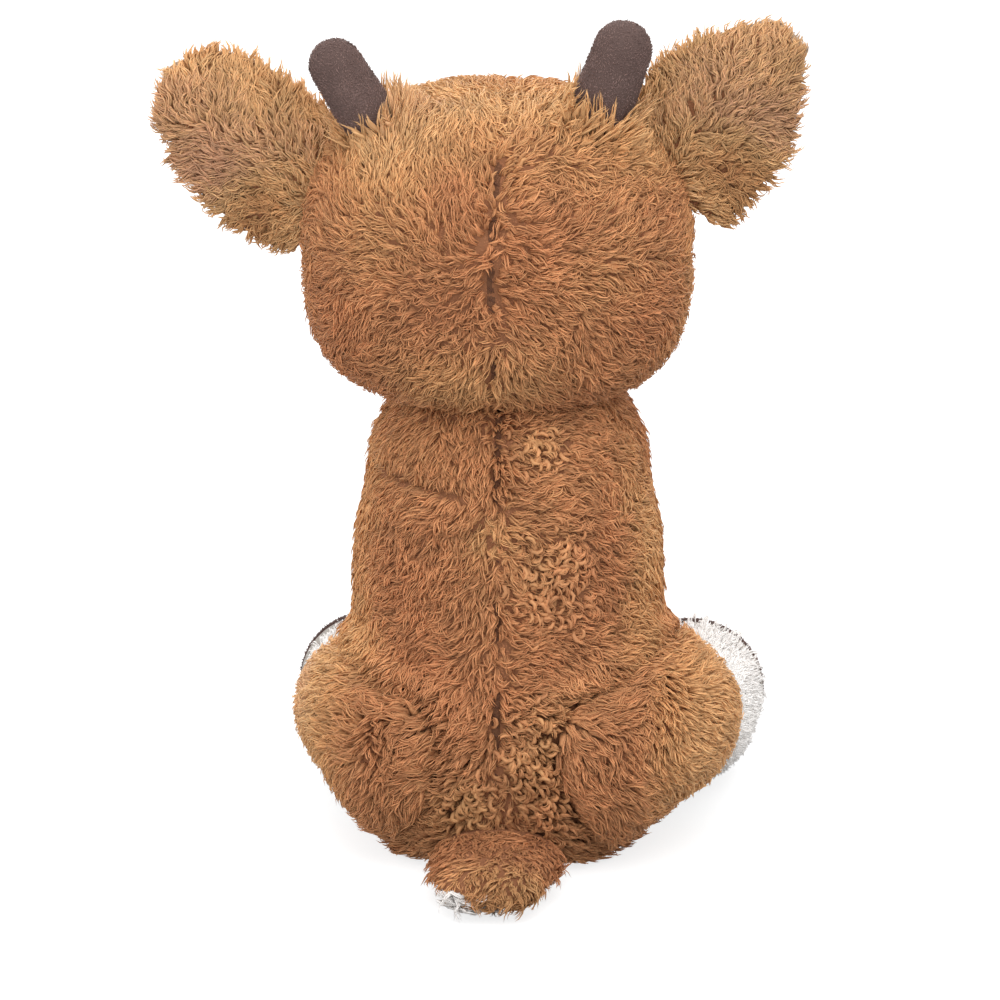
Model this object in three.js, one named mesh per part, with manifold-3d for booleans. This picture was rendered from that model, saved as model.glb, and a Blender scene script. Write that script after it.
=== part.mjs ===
// A stuffed toy deer that sits upright on its seat, sewn from brown and white long-pile plush with dark
// brown short-pile antlers and hooves. Millimetres, +Z up. The deer faces -Y, its left side is +X, and the
// origin is the middle of its seat, on the floor. Each cover is a shell as thick as its plush, and holds
// its own stuffing.
import * as THREE from "three";
import { mergeVertices } from "three/addons/utils/BufferGeometryUtils.js";
import Module from "manifold-3d";

const wasm = await Module();
wasm.setup();

// Cloth
const longPile = 5; // brown and white plush, backing and pile together
const shortPile = 1.8; // antler, hoof and nose cloth
const clearance = 0.4; // between a cover and what touches it
const seamGap = 0.3; // between two covers sewn edge to edge
const seatCut = 0.5; // how far each soft form is pressed flat by the floor

// Torso: widest at the hips, with a dome on top that the head is sewn over
const bodyWidth = 95;
const bodyDepth = 91;
const shoulderHeight = 112;
const shoulderWidth = 87;
const domeRadius = 44;
const domeSetback = -2;
const neckOpening = 18;
const pouchHeight = 24;
const pouchMargin = 15; // between the pellet pouch and the torso's sides

// Head
const headWidth = 118;
const headDepth = 104;
const headHeight = 96;
const headSquareness = 2.2;
const headTopSquareness = 2.3;
const jowlSquareness = 3.3;
const headRise = 73; // head centre above the middle of the shoulders
const headForward = 4;
const headShift = 3.5; // the head sits a little towards the deer's left
const muzzleWidth = 48;
const muzzleDepth = 48;
const muzzleHeight = 37;
const muzzleDrop = 15;
const noseWidth = 17;
const noseDepth = 11;
const noseHeight = 12;
const eyeDiameter = 12.5;
const eyeDome = 5.5;
const eyeSink = 3; // how deep the dome's edge sits in the pile
const eyeShank = 3.2;
const eyeShankLength = 11;
const eyeTurn = 27; // degrees from straight ahead
const eyeLift = 6; // degrees above the head's centre
const washerDiameter = 11;
const washerThickness = 1.6;

// Ears: two cloth layers with no stuffing, sewn on a little unevenly. lift is where on the head an ear
// starts and aim is which way it points, in degrees above level.
const earCloth = 5;
const earLiningCloth = 3.6;
const earSeam = 7; // how far the ear's base reaches into the head
const earCup = 5; // how far the ear's edges curl forward
const earForward = 4; // in front of the head's middle
const leftEar = { side: 1, length: 53.5, width: 51, lift: 12.5, aim: 28, sweep: 6 };
const rightEar = { side: -1, length: 53.5, width: 52.5, lift: 23, aim: 48, sweep: 2 };

// Antlers: short stuffed buds, sewn on behind the top of the head
const antlerSeam = 5;
const leftAntler = { side: 1, length: 30, width: 19, lift: 47, lean: 31.5, setback: 11 };
const rightAntler = { side: -1, length: 32, width: 20.5, lift: 54, lean: 19, setback: 10 };

// Front legs: sewn on at the shoulders, hanging side by side in front of the belly
const frontLegWidth = 22;
const frontLegSpacing = 23; // between the two hooves' middles
const frontShoulderSpacing = 38;
const frontLegGap = 2.5; // between the belly and the leg at rest
const sockTop = 42;
const hoofHeight = 12;

// Hind legs: fat haunches at the hips, with the feet forward. The right one is sewn on a little further out.
const haunchLevel = 40;
const haunchSetback = 8;
const rumpDiameter = 50; // behind the haunch and under it
const rumpInset = 21; // from the torso's side to the rump's middle
const rumpLevel = 31.5;
const rumpSetback = 30;
const kneeDiameter = 47;
const footDiameter = 46;
const footReach = 84; // from the seat's middle to the soles
const footFurLength = 66;
const soleDepth = 9;
const leftHindLeg = { side: 1, haunch: 45, haunchInset: 7.5, footOut: 46.5 };
const rightHindLeg = { side: -1, haunch: 54, haunchInset: 5.5, footOut: 50.5 };

// Tail: brown on top and white below, lying on the floor
const tailLength = 42;
const tailWidth = 43;
const tailThickness = 19;
const tailUndersideThickness = 8;

// White belly panel
const bellyWidth = 56;
const bellyHeight = 92;
const bellyMiddle = 66;

// How far each soft seam lets its piece move, in degrees
const headNodForward = 12;
const headNodBack = 10;
const earFlop = 35;
const earFlopBack = 8;
const antlerFlex = 10;
const frontLegSwing = 45;
const hindLegLift = 25;
const hindLegTurnOut = 25; // how far the hind legs' hinge is turned, so that they rise outwards
const tailLift = 40;
const sweepStep = 5; // between the poses that a moving piece is cut clear of

// How finely the forms are drawn
const bigSides = 24;
const middleSides = 16;
const smallSides = 12;
const innerShare = 0.5; // inner surfaces have half the sides
const capTurns = [30, 60]; // where a rounded end has its rings, in degrees
const overrun = 240; // how far a cutting form runs past what it cuts

const degrees = Math.PI / 180;
const sidesFor = (sides, grow) => (grow < 0 ? sides * innerShare : sides);
const vector = (x, y, z) => new THREE.Vector3(x, y, z);
const up = vector(0, 0, 1);
const down = up.clone().negate();
const back = vector(0, 1, 0);
const ahead = back.clone().negate();
const left = vector(1, 0, 0);
const right = left.clone().negate();
const middleOf = (a, b) => a.clone().add(b).multiplyScalar(0.5);

// Closes a stack of rings of points, with a point at each end, into one solid.
function solidFromRings(start, rings, end) {
  const sides = rings[0].length;
  const points = [start, ...rings.flat(), end];
  const faces = [];
  const at = (ring, side) => 1 + ring * sides + (side % sides);
  for (let side = 0; side < sides; side++) {
    faces.push(0, at(0, side + 1), at(0, side));
    for (let ring = 0; ring < rings.length - 1; ring++) {
      faces.push(at(ring, side), at(ring, side + 1), at(ring + 1, side + 1));
      faces.push(at(ring, side), at(ring + 1, side + 1), at(ring + 1, side));
    }
    faces.push(points.length - 1, at(rings.length - 1, side), at(rings.length - 1, side + 1));
  }
  const geometry = new THREE.BufferGeometry().setFromPoints(points).setIndex(faces);
  return solidOf(geometry);
}

// A three.js geometry as a solid that can be cut and joined. One that was made inside out is turned round.
function solidOf(geometry) {
  const bare = geometry.clone();
  bare.deleteAttribute("normal");
  bare.deleteAttribute("uv");
  const merged = mergeVertices(bare);
  const vertProperties = new Float32Array(merged.attributes.position.array);
  const triVerts = new Uint32Array(merged.index.array);
  const made = new wasm.Manifold(new wasm.Mesh({ numProp: 3, vertProperties, triVerts }));
  return made.volume() > 0 ? made : solidFromTurned(vertProperties, triVerts);
}

function solidFromTurned(vertProperties, triVerts) {
  for (let i = 0; i < triVerts.length; i += 3) {
    [triVerts[i + 1], triVerts[i + 2]] = [triVerts[i + 2], triVerts[i + 1]];
  }
  return new wasm.Manifold(new wasm.Mesh({ numProp: 3, vertProperties, triVerts }));
}

// A ring of points round a place, with an optional curl that lifts its two edges along the second direction.
function ringAt(centre, across, along, halfWidth, halfHeight, sides, curl = 0) {
  const ring = [];
  for (let side = 0; side < sides; side++) {
    const turn = (side / sides) * 2 * Math.PI;
    const wide = Math.cos(turn);
    const point = centre.clone().addScaledVector(across, halfWidth * wide);
    point.addScaledVector(along, halfHeight * Math.sin(turn) + curl * wide * wide);
    ring.push(point);
  }
  return ring;
}

// The point of a puffed form's surface that lies in a given direction from its centre. Its squareness is
// that of its level outline, of its top and of its underside.
function puffedPoint(centre, half, squareness, direction) {
  const { level } = squareness;
  const outline = Math.abs(direction.x / half.x) ** level + Math.abs(direction.y / half.y) ** level;
  const power = direction.z > 0 ? squareness.top : squareness.under;
  const reach = outline ** (power / level) + Math.abs(direction.z / half.z) ** power;
  return centre.clone().addScaledVector(direction, reach ** (-1 / power));
}

// A round form that is stuffed towards a box: an ellipsoid whose squareness is over 2.
function puffedForm(centre, size, squareness, grow = 0, fullSides = bigSides) {
  const half = size.clone().multiplyScalar(0.5).addScalar(grow);
  const sides = sidesFor(fullSides, grow);
  const levels = sides / 2;
  const rings = [];
  for (let level = 1; level < levels; level++) {
    const tilt = (level / levels - 0.5) * Math.PI;
    const ring = [];
    for (let side = 0; side < sides; side++) {
      const turn = (side / sides) * 2 * Math.PI;
      const direction = vector(Math.cos(turn), Math.sin(turn), Math.tan(tilt)).normalize();
      ring.push(puffedPoint(centre, half, squareness, direction.multiply(half)));
    }
    rings.push(ring);
  }
  const pole = up.clone().multiplyScalar(half.z);
  return solidFromRings(centre.clone().sub(pole), rings, centre.clone().add(pole));
}

const round = { level: 2, top: 2, under: 2 };

// A stuffed limb along a smooth line through its stations. Each has a place, a width and a height, and the
// ends are rounded over. across says which way the width lies.
function limbForm(stations, across, grow = 0, options = {}) {
  const { fullSides = smallSides, steps = 2, curl = 0, tipRound = 1, rootRound = 1 } = options;
  const sides = sidesFor(fullSides, grow);
  const line = new THREE.CatmullRomCurve3(stations.map((s) => s.at), false, "centripetal");
  const last = stations.length - 1;
  const rings = [];
  const frameAt = (t) => {
    const tangent = line.getTangent(t);
    const wide = across.clone().addScaledVector(tangent, -across.dot(tangent)).normalize();
    return { tangent, wide, high: wide.clone().cross(tangent) };
  };
  const sizeAt = (t) => {
    const place = t * last;
    const n = Math.min(Math.floor(place), last - 1);
    const ease = (1 - Math.cos((place - n) * Math.PI)) / 2;
    const mix = (key) => stations[n][key] * (1 - ease) + stations[n + 1][key] * ease;
    return { halfWidth: mix("width") / 2 + grow, halfHeight: mix("height") / 2 + grow };
  };
  const addRing = (t, shift, scale) => {
    const { tangent, wide, high } = frameAt(t);
    const { halfWidth, halfHeight } = sizeAt(t);
    const centre = line.getPoint(t).addScaledVector(tangent, shift);
    const lifted = curl * scale * scale;
    rings.push(ringAt(centre, wide, high, halfWidth * scale, halfHeight * scale, sides, lifted));
  };
  const capLength = (t, round) => {
    const { halfWidth, halfHeight } = sizeAt(t);
    return Math.min(halfWidth, halfHeight) * round;
  };
  const rootCap = capLength(0, rootRound);
  const tipCap = capLength(1, tipRound);
  capTurns.forEach((turn) => addRing(0, -rootCap * Math.cos(turn * degrees), Math.sin(turn * degrees)));
  for (let step = 0; step <= last * steps; step++) addRing(step / (last * steps), 0, 1);
  [...capTurns].reverse().forEach((turn) => {
    addRing(1, tipCap * Math.cos(turn * degrees), Math.sin(turn * degrees));
  });
  const start = line.getPoint(0).addScaledVector(frameAt(0).tangent, -rootCap);
  const end = line.getPoint(1).addScaledVector(frameAt(1).tangent, tipCap);
  return solidFromRings(start, rings, end);
}

// A box from its middle and size, optionally turned about the middle.
function boxForm(centre, size, facing) {
  const geometry = new THREE.BoxGeometry(size.x, size.y, size.z);
  if (facing) geometry.applyQuaternion(new THREE.Quaternion().setFromUnitVectors(back, facing));
  geometry.translate(centre.x, centre.y, centre.z);
  return solidOf(geometry);
}

// All space beyond a plane, as a large box: what lies on the side that the plane faces.
function beyond(point, facing) {
  const size = vector(overrun, overrun, overrun);
  return boxForm(point.clone().addScaledVector(facing, size.y / 2), size, facing);
}

const belowFloor = beyond(vector(0, 0, 0), down);

// A solid turned about an axis through a pivot, by an angle in degrees.
function turned(solid, pivot, axis, angle) {
  const place = new THREE.Matrix4().makeTranslation(pivot.x, pivot.y, pivot.z);
  const turn = new THREE.Matrix4().makeRotationAxis(axis, angle * degrees);
  const undo = new THREE.Matrix4().makeTranslation(-pivot.x, -pivot.y, -pivot.z);
  return solid.transform(place.multiply(turn).multiply(undo).toArray());
}

// What a fixed neighbour takes up as seen from a piece that turns from one angle to another.
function sweptNeighbour(neighbour, pivot, axis, from, to) {
  const steps = Math.max(1, Math.ceil((to - from) / sweepStep));
  let swept = turned(neighbour, pivot, axis, -from);
  for (let step = 1; step <= steps; step++) {
    const angle = from + ((to - from) * step) / steps;
    swept = swept.add(turned(neighbour, pivot, axis, -angle));
  }
  return swept;
}

// A solid of revolution round its own axis, set at a place and facing a direction.
function turnedPiece(outline, place, facing, sides = smallSides) {
  const points = outline.map(([radius, height]) => new THREE.Vector2(radius, height));
  const geometry = new THREE.LatheGeometry(points, sides);
  geometry.applyQuaternion(new THREE.Quaternion().setFromUnitVectors(back, facing));
  geometry.translate(place.x, place.y, place.z);
  return solidOf(geometry);
}

const deer = new THREE.Group();

// Turns a finished solid into a named mesh of the deer.
function addPiece(name, solid, material) {
  const { numProp, vertProperties, triVerts, numVert } = solid.getMesh();
  const position = new Float32Array(numVert * 3);
  for (let i = 0; i < numVert; i++) {
    position.set(vertProperties.subarray(i * numProp, i * numProp + 3), i * 3);
  }
  const geometry = new THREE.BufferGeometry();
  geometry.setAttribute("position", new THREE.BufferAttribute(position, 3));
  geometry.setIndex(new THREE.BufferAttribute(triVerts, 1));
  geometry.computeVertexNormals();
  const mesh = new THREE.Mesh(geometry, material);
  mesh.name = name;
  deer.add(mesh);
}

const cloth = (color, roughness) => new THREE.MeshStandardMaterial({ color, roughness, metalness: 0 });
const brownPlush = cloth(0xb0764a, 0.95);
const whitePlush = cloth(0xe9e4de, 0.95);
const darkFleece = cloth(0x5d4640, 0.9);
const liningCloth = cloth(0xe8d3bd, 0.9);
const stuffing = cloth(0xf4f4f0, 1);
const pelletCloth = cloth(0xd9d3c4, 0.8);
const eyePlastic = cloth(0x0c0a0a, 0.12);
const washerPlastic = cloth(0xe2e2e2, 0.4);

// Torso: rings from the seat to the shoulders follow these shares of the height, width and depth
const torsoShares = [
  [0, 0.6, 0.63],
  [0.05, 0.83, 0.86],
  [0.14, 0.94, 0.95],
  [0.3, 1, 1],
  [0.5, 1, 0.985],
  [0.7, 1, 0.965],
  [0.87, 0.975, 0.96],
];
const domeTurns = [0, 18, 36, 54, 72];
const domeCentre = vector(0, domeSetback, shoulderHeight);

function torsoForm(grow = 0) {
  const rings = [];
  const sides = sidesFor(bigSides, grow);
  const low = -seatCut - grow;
  for (const [rise, wide, deep] of torsoShares) {
    const centre = vector(0, domeSetback * rise, low + (shoulderHeight - low) * rise);
    const halfWidth = (bodyWidth / 2) * wide + grow;
    rings.push(ringAt(centre, left, back, halfWidth, (bodyDepth / 2) * deep + grow, sides));
  }
  for (const turn of domeTurns) {
    const centre = domeCentre.clone().addScaledVector(up, (domeRadius + grow) * Math.sin(turn * degrees));
    const narrow = Math.cos(turn * degrees);
    const halfWidth = (shoulderWidth / 2 + grow) * narrow;
    rings.push(ringAt(centre, left, back, halfWidth, (domeRadius + grow) * narrow, sides));
  }
  const top = domeCentre.clone().addScaledVector(up, domeRadius + grow);
  return solidFromRings(vector(0, 0, low), rings, top);
}

const torsoOuter = torsoForm().subtract(belowFloor);
const torsoAround = torsoForm(clearance);
const torsoHollow = torsoForm(-longPile);
const torsoFilling = torsoForm(-longPile - clearance);

function torsoPieces() {
  const bellyCutter = (grow) => {
    const size = vector(bellyWidth + 2 * grow, overrun, bellyHeight + 2 * grow);
    const egg = new THREE.SphereGeometry(0.5, bigSides, bigSides / 2).scale(size.x, size.y, size.z);
    egg.translate(0, 0, bellyMiddle);
    return solidOf(egg).subtract(beyond(vector(0, 0, 0), back));
  };
  const neckHole = (radius) => {
    const tube = new THREE.CylinderGeometry(radius, radius, 2 * domeRadius, bigSides);
    tube.rotateX(90 * degrees).translate(0, domeSetback, shoulderHeight + domeRadius);
    return solidOf(tube);
  };
  const pouchSize = vector(bodyWidth - 2 * pouchMargin, bodyDepth - 2 * pouchMargin, pouchHeight);
  const pouchCentre = vector(0, 0, longPile - seatCut + clearance + pouchHeight / 2);
  const pouch = (grow) => puffedForm(pouchCentre, pouchSize, round, grow, smallSides);
  const cover = torsoOuter.subtract(torsoHollow).subtract(neckHole(neckOpening));
  const plug = torsoForm(-clearance).intersect(neckHole(neckOpening - clearance));
  addPiece("body_skin", cover.subtract(bellyCutter(0)), brownPlush);
  addPiece("belly_panel", cover.intersect(bellyCutter(-seamGap)), whitePlush);
  addPiece("body_fill", torsoFilling.add(plug).subtract(pouch(clearance)), stuffing);
  addPiece("pellet_pouch", pouch(0), pelletCloth);
}

// Head, sewn over the dome and able to nod about the dome's middle
const headCentre = vector(headShift, domeSetback - headForward, shoulderHeight + headRise);
const headSize = vector(headWidth, headDepth, headHeight);
const headHalf = headSize.clone().multiplyScalar(0.5);
const headShape = { level: headSquareness, top: headTopSquareness, under: jowlSquareness };
const headForm = (grow = 0) => puffedForm(headCentre, headSize, headShape, grow);
const headPoint = (direction) => puffedPoint(headCentre, headHalf, headShape, direction);
const muzzleCentre = headPoint(vector(0, -1, 0)).add(vector(-headShift, longPile, -muzzleDrop));
const muzzleSize = vector(muzzleWidth, muzzleDepth, muzzleHeight);
const muzzleForm = (grow = 0) => puffedForm(muzzleCentre, muzzleSize, round, grow, middleSides);

// One eye's dome and shank, with its edge sunk in the pile
const eyeFacing = (side) => {
  const turn = eyeTurn * degrees;
  const lift = eyeLift * degrees;
  return vector(side * Math.sin(turn) * Math.cos(lift), -Math.cos(turn) * Math.cos(lift), Math.sin(lift));
};

function eyeForm(side, grow = 0) {
  const facing = eyeFacing(side);
  const edge = headPoint(facing).addScaledVector(facing, -eyeSink);
  const radius = eyeDiameter / 2 + grow;
  const outline = [[0, -eyeShankLength - grow]];
  outline.push([eyeShank / 2 + grow, -eyeShankLength - grow]);
  outline.push([eyeShank / 2 + grow, -grow]);
  outline.push([radius, -grow]);
  for (const turn of capTurns) {
    outline.push([radius * Math.cos(turn * degrees), (eyeDome + grow) * Math.sin(turn * degrees)]);
  }
  outline.push([0, eyeDome + grow]);
  return turnedPiece(outline, edge, facing);
}

function washerForm(side, grow = 0) {
  const facing = eyeFacing(side);
  const depth = eyeSink + longPile + clearance;
  const place = headPoint(facing).addScaledVector(facing, -depth);
  const inner = eyeShank / 2 + seamGap - grow;
  const outline = [
    [inner, -washerThickness - grow],
    [washerDiameter / 2 + grow, -washerThickness - grow],
    [washerDiameter / 2 + grow, grow],
    [inner, grow],
    [inner, -washerThickness - grow],
  ];
  return turnedPiece(outline, place, facing);
}

function headPieces() {
  const dome = new THREE.SphereGeometry(1, bigSides, bigSides / 2).rotateZ(90 * degrees);
  const wider = 1 / Math.cos(Math.PI / bigSides);
  const domeClear = (domeRadius + clearance) * wider;
  dome.scale((shoulderWidth / 2 + clearance) * wider, domeClear, domeClear);
  const around = solidOf(dome.translate(domeCentre.x, domeCentre.y, domeCentre.z));
  const muzzleHollow = muzzleForm(-longPile);
  let cover = headForm().subtract(headForm(-longPile)).subtract(muzzleHollow).subtract(around);
  let filling = headForm(-longPile - clearance).add(muzzleForm(-longPile - clearance)).subtract(around);
  for (const side of [1, -1]) {
    cover = cover.subtract(eyeForm(side, seamGap)).subtract(washerForm(side, seamGap));
    filling = filling.subtract(eyeForm(side, clearance)).subtract(washerForm(side, clearance));
  }
  const muzzleCover = muzzleForm().subtract(muzzleHollow).subtract(headForm(seamGap));
  const noseCentre = muzzleCentre.clone().add(vector(0, -muzzleDepth / 2, noseHeight / 2));
  const nose = puffedForm(noseCentre, vector(noseWidth, noseDepth, noseHeight), round, 0, smallSides);
  addPiece("head_skin", cover, brownPlush);
  addPiece("head_fill", filling, stuffing);
  addPiece("muzzle_skin", muzzleCover, whitePlush);
  addPiece("nose", nose.subtract(muzzleForm(seamGap)), darkFleece);
  for (const [side, word] of [[1, "left"], [-1, "right"]]) {
    addPiece(`eye_${word}`, eyeForm(side), eyePlastic);
    addPiece(`eye_washer_${word}`, washerForm(side), washerPlastic);
  }
}

// Ears: two layers of cloth sewn edge to edge. An ear's width, its middle's place across and its thickness,
// as shares of its full width, sweep and cloth, at places along it.
const leftEarShares = [
  { along: 0, wide: 0.9, shift: 0, thick: 1 },
  { along: 0.3, wide: 1, shift: 0.2, thick: 1 },
  { along: 0.55, wide: 0.96, shift: 0.8, thick: 1 },
  { along: 0.77, wide: 0.82, shift: 1, thick: 0.95 },
  { along: 0.92, wide: 0.5, shift: 0.7, thick: 0.8 },
];
const rightEarShares = [
  { along: 0, wide: 0.98, shift: 0, thick: 1 },
  { along: 0.3, wide: 1, shift: 0.2, thick: 1 },
  { along: 0.53, wide: 0.92, shift: 0.8, thick: 1 },
  { along: 0.78, wide: 0.6, shift: 1, thick: 0.95 },
  { along: 0.93, wide: 0.34, shift: 0.7, thick: 0.8 },
];
const earLiningShare = 0.84;

function earPieces(word, place, shares) {
  const { side, length, width, lift, aim, sweep } = place;
  const outward = vector(side * Math.cos(aim * degrees), 0, Math.sin(aim * degrees));
  const toBase = vector(side * Math.cos(lift * degrees), -earForward / headHalf.x, Math.sin(lift * degrees));
  const base = headPoint(toBase);
  const upward = vector(-side * outward.z, 0, side * outward.x);
  const ear = (cloth, wideShare, forward, grow) => {
    const tip = (length + earSeam) * (1 - shares.at(-1).along);
    const stations = shares.map(({ along, wide, shift, thick }) => {
      const at = base.clone().addScaledVector(outward, (length + earSeam) * along - earSeam);
      at.addScaledVector(upward, sweep * shift).addScaledVector(back, -forward);
      return { at, width: width * wide * wideShare, height: cloth * thick };
    });
    const tipRound = tip / (stations.at(-1).height / 2 + grow);
    return limbForm(stations, upward, grow, { curl: side * earCup, steps: 1, tipRound });
  };
  const hinge = upward.clone().multiplyScalar(-side);
  const around = sweptNeighbour(headForm(clearance), base, hinge, -earFlopBack, earFlop);
  const lining = ear(earLiningCloth, earLiningShare, (earCloth + earLiningCloth) / 2, 0);
  const liningLeft = lining.subtract(ear(earCloth, 1, 0, seamGap)).subtract(around);
  addPiece(`ear_${word}_back`, ear(earCloth, 1, 0, 0).subtract(around), brownPlush);
  addPiece(`ear_${word}_lining`, liningLeft, liningCloth);
}

// Antlers: widths at their root, middle and top, as shares of the full width
const antlerShares = [0.92, 1, 0.96];

function antlerPieces(word, place) {
  const { side, length, width, lift, lean, setback } = place;
  const upward = vector(side * Math.sin(lean * degrees), 0, Math.cos(lean * degrees));
  const across = vector(upward.z, 0, -upward.x);
  const toBase = vector(side * Math.cos(lift * degrees), setback / headHalf.z, Math.sin(lift * degrees));
  const base = headPoint(toBase);
  const antler = (grow) => {
    const places = [-antlerSeam, (length - width) / 2, length - width / 2];
    const stations = places.map((along, i) => {
      const size = width * antlerShares[i];
      return { at: base.clone().addScaledVector(upward, along), width: size, height: size };
    });
    return limbForm(stations, across, grow, { steps: 1 });
  };
  const around = sweptNeighbour(headForm(clearance), base, left, -antlerFlex, antlerFlex);
  const cover = antler(0).subtract(antler(-shortPile));
  addPiece(`antler_${word}_skin`, cover.subtract(around), darkFleece);
  addPiece(`antler_${word}_fill`, antler(-shortPile - clearance).subtract(around), stuffing);
}

// Cuts a limb's hollow cover across into pieces, root first: [name, material, plane where the piece ends].
function coverPieces(shell, cuts, facingAt) {
  let rest = shell;
  for (const [name, material, end] of cuts) {
    if (!end) {
      addPiece(name, rest, material);
      return;
    }
    const past = beyond(end, facingAt);
    addPiece(name, rest.subtract(past), material);
    rest = rest.intersect(beyond(end.clone().addScaledVector(facingAt, seamGap), facingAt));
  }
}

// A front leg's widths, as shares of its full width, and how round its hoof's end is, how far its root stands
// off the chest and how far its elbow bows forward, as shares of half of it
const frontShoulderShare = 1.05;
const wristShare = 0.96;
const hoofRoundShare = 0.95;
const standOffShare = 0.2;
const elbowBowShare = 0.3;

function frontLegPieces(word, side) {
  const halfWidth = frontLegWidth / 2;
  const outward = frontShoulderSpacing / 2;
  const bellyFront = bodyDepth / 2 + frontLegGap + halfWidth;
  const domeFront = domeRadius * Math.sqrt(1 - (frontShoulderSpacing / shoulderWidth) ** 2);
  const shoulderFront = domeSetback - domeFront - halfWidth * standOffShare;
  const shoulder = vector(side * outward, shoulderFront, shoulderHeight);
  const wrist = vector((side * frontLegSpacing) / 2, -bellyFront, sockTop);
  const hoof = vector((side * frontLegSpacing) / 2, -bellyFront, halfWidth * hoofRoundShare - seatCut);
  const elbow = middleOf(shoulder, wrist).addScaledVector(ahead, halfWidth * elbowBowShare);
  const leg = (grow) => {
    const shoulderSize = frontLegWidth * frontShoulderShare;
    const wristSize = frontLegWidth * wristShare;
    const stations = [
      { at: shoulder, width: shoulderSize, height: shoulderSize },
      { at: elbow, width: frontLegWidth, height: frontLegWidth },
      { at: wrist, width: wristSize, height: wristSize },
      { at: hoof, width: frontLegWidth, height: frontLegWidth },
    ];
    return limbForm(stations, left, grow, { tipRound: hoofRoundShare });
  };
  const around = sweptNeighbour(torsoAround, shoulder, right, 0, frontLegSwing);
  const cover = leg(0).subtract(leg(-longPile)).subtract(around).subtract(belowFloor);
  const filling = leg(-longPile - clearance).subtract(around).subtract(belowFloor);
  const hoofTop = vector(0, 0, hoofHeight);
  const cuts = [
    [`front_leg_${word}_skin`, brownPlush, vector(0, 0, sockTop)],
    [`front_sock_${word}`, whitePlush, hoofTop],
    [`front_hoof_${word}`, darkFleece, null],
  ];
  coverPieces(cover, cuts, down);
  addPiece(`front_leg_${word}_fill`, filling, stuffing);
}

// How wide a hind leg's rump is, as a share of its diameter, and how round its end is, the rise of the knee
// as a share of the haunch's diameter, and the ankle as a share of the foot's
const rumpWidthShare = 0.94;
const rumpRoundShare = 0.6;
const kneeRiseShare = 0.02;
const ankleShare = 0.96;

function hindLegPieces(word, place) {
  const { side, haunch: haunchDiameter, haunchInset, footOut } = place;
  const footRadius = footDiameter / 2;
  const haunch = vector(side * (bodyWidth / 2 - haunchInset), haunchSetback, haunchLevel);
  const rump = vector(side * (bodyWidth / 2 - rumpInset), rumpSetback, rumpLevel);
  const sole = vector(side * footOut, soleDepth - footReach, footRadius - seatCut);
  const ankle = sole.clone().addScaledVector(back, footRadius);
  const knee = middleOf(haunch, ankle).addScaledVector(up, haunchDiameter * kneeRiseShare);
  const leg = (grow) => {
    const rumpWidth = rumpDiameter * rumpWidthShare;
    const ankleSize = footDiameter * ankleShare;
    const stations = [
      { at: rump, width: rumpWidth, height: rumpDiameter },
      { at: haunch, width: haunchDiameter, height: haunchDiameter },
      { at: knee, width: kneeDiameter, height: kneeDiameter },
      { at: ankle, width: ankleSize, height: ankleSize },
      { at: sole, width: footDiameter, height: footDiameter },
    ];
    const tipRound = (soleDepth + grow) / (footRadius + grow);
    const options = { fullSides: middleSides, rootRound: rumpRoundShare, tipRound };
    return limbForm(stations, left, grow, options);
  };
  const turnOut = hindLegTurnOut * degrees;
  const hinge = vector(-Math.cos(turnOut), 0, side * Math.sin(turnOut));
  const hip = vector(side * (bodyWidth / 2 - longPile), haunchSetback, haunchLevel);
  const around = sweptNeighbour(torsoAround, hip, hinge, 0, hindLegLift);
  const cover = leg(0).subtract(leg(-longPile)).subtract(around).subtract(belowFloor);
  const filling = leg(-longPile - clearance).subtract(around).subtract(belowFloor);
  const soleLine = vector(0, soleDepth - footReach, 0);
  const furLine = soleLine.clone().addScaledVector(back, footFurLength);
  const cuts = [
    [`hind_leg_${word}_skin`, brownPlush, furLine],
    [`hind_foot_${word}`, whitePlush, soleLine],
    [`hind_sole_${word}`, darkFleece, null],
  ];
  coverPieces(cover, cuts, ahead);
  addPiece(`hind_leg_${word}_fill`, filling, stuffing);
}

// The tail's widths and thickness at its ends, as shares of the full ones, how far its root reaches into the
// torso, as a share of its thickness, and how round its tip is
const tailRootShare = 0.86;
const tailTipShare = 0.82;
const tailTipThickShare = 0.96;
const tailReachShare = 0.8;
const tailRoundShare = 1.3;

function tailPieces() {
  const halfThick = tailThickness / 2;
  const seatBack = bodyDepth / 2;
  const level = halfThick - seatCut;
  const root = vector(0, seatBack - tailThickness * tailReachShare, level);
  const tip = vector(0, seatBack + tailLength - halfThick * tailRoundShare, level);
  const tail = (grow) => {
    const stations = [
      { at: root, width: tailWidth * tailRootShare, height: tailThickness },
      { at: middleOf(root, tip), width: tailWidth, height: tailThickness },
      { at: tip, width: tailWidth * tailTipShare, height: tailThickness * tailTipThickShare },
    ];
    return limbForm(stations, left, grow, { tipRound: tailRoundShare });
  };
  const hinge = vector(0, seatBack - longPile, tailThickness);
  const around = sweptNeighbour(torsoAround, hinge, left, 0, tailLift);
  const whole = tail(0).subtract(around).subtract(belowFloor);
  const seam = vector(0, 0, tailUndersideThickness);
  const undersideTop = seam.clone().addScaledVector(down, seamGap);
  addPiece("tail_top", whole.intersect(beyond(seam, up)), brownPlush);
  addPiece("tail_underside", whole.intersect(beyond(undersideTop, down)), whitePlush);
}

torsoPieces();
headPieces();
earPieces("left", leftEar, leftEarShares);
earPieces("right", rightEar, rightEarShares);
antlerPieces("left", leftAntler);
antlerPieces("right", rightAntler);
frontLegPieces("left", 1);
frontLegPieces("right", -1);
hindLegPieces("left", leftHindLeg);
hindLegPieces("right", rightHindLeg);
tailPieces();

export default deer;
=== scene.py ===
import math

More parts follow.
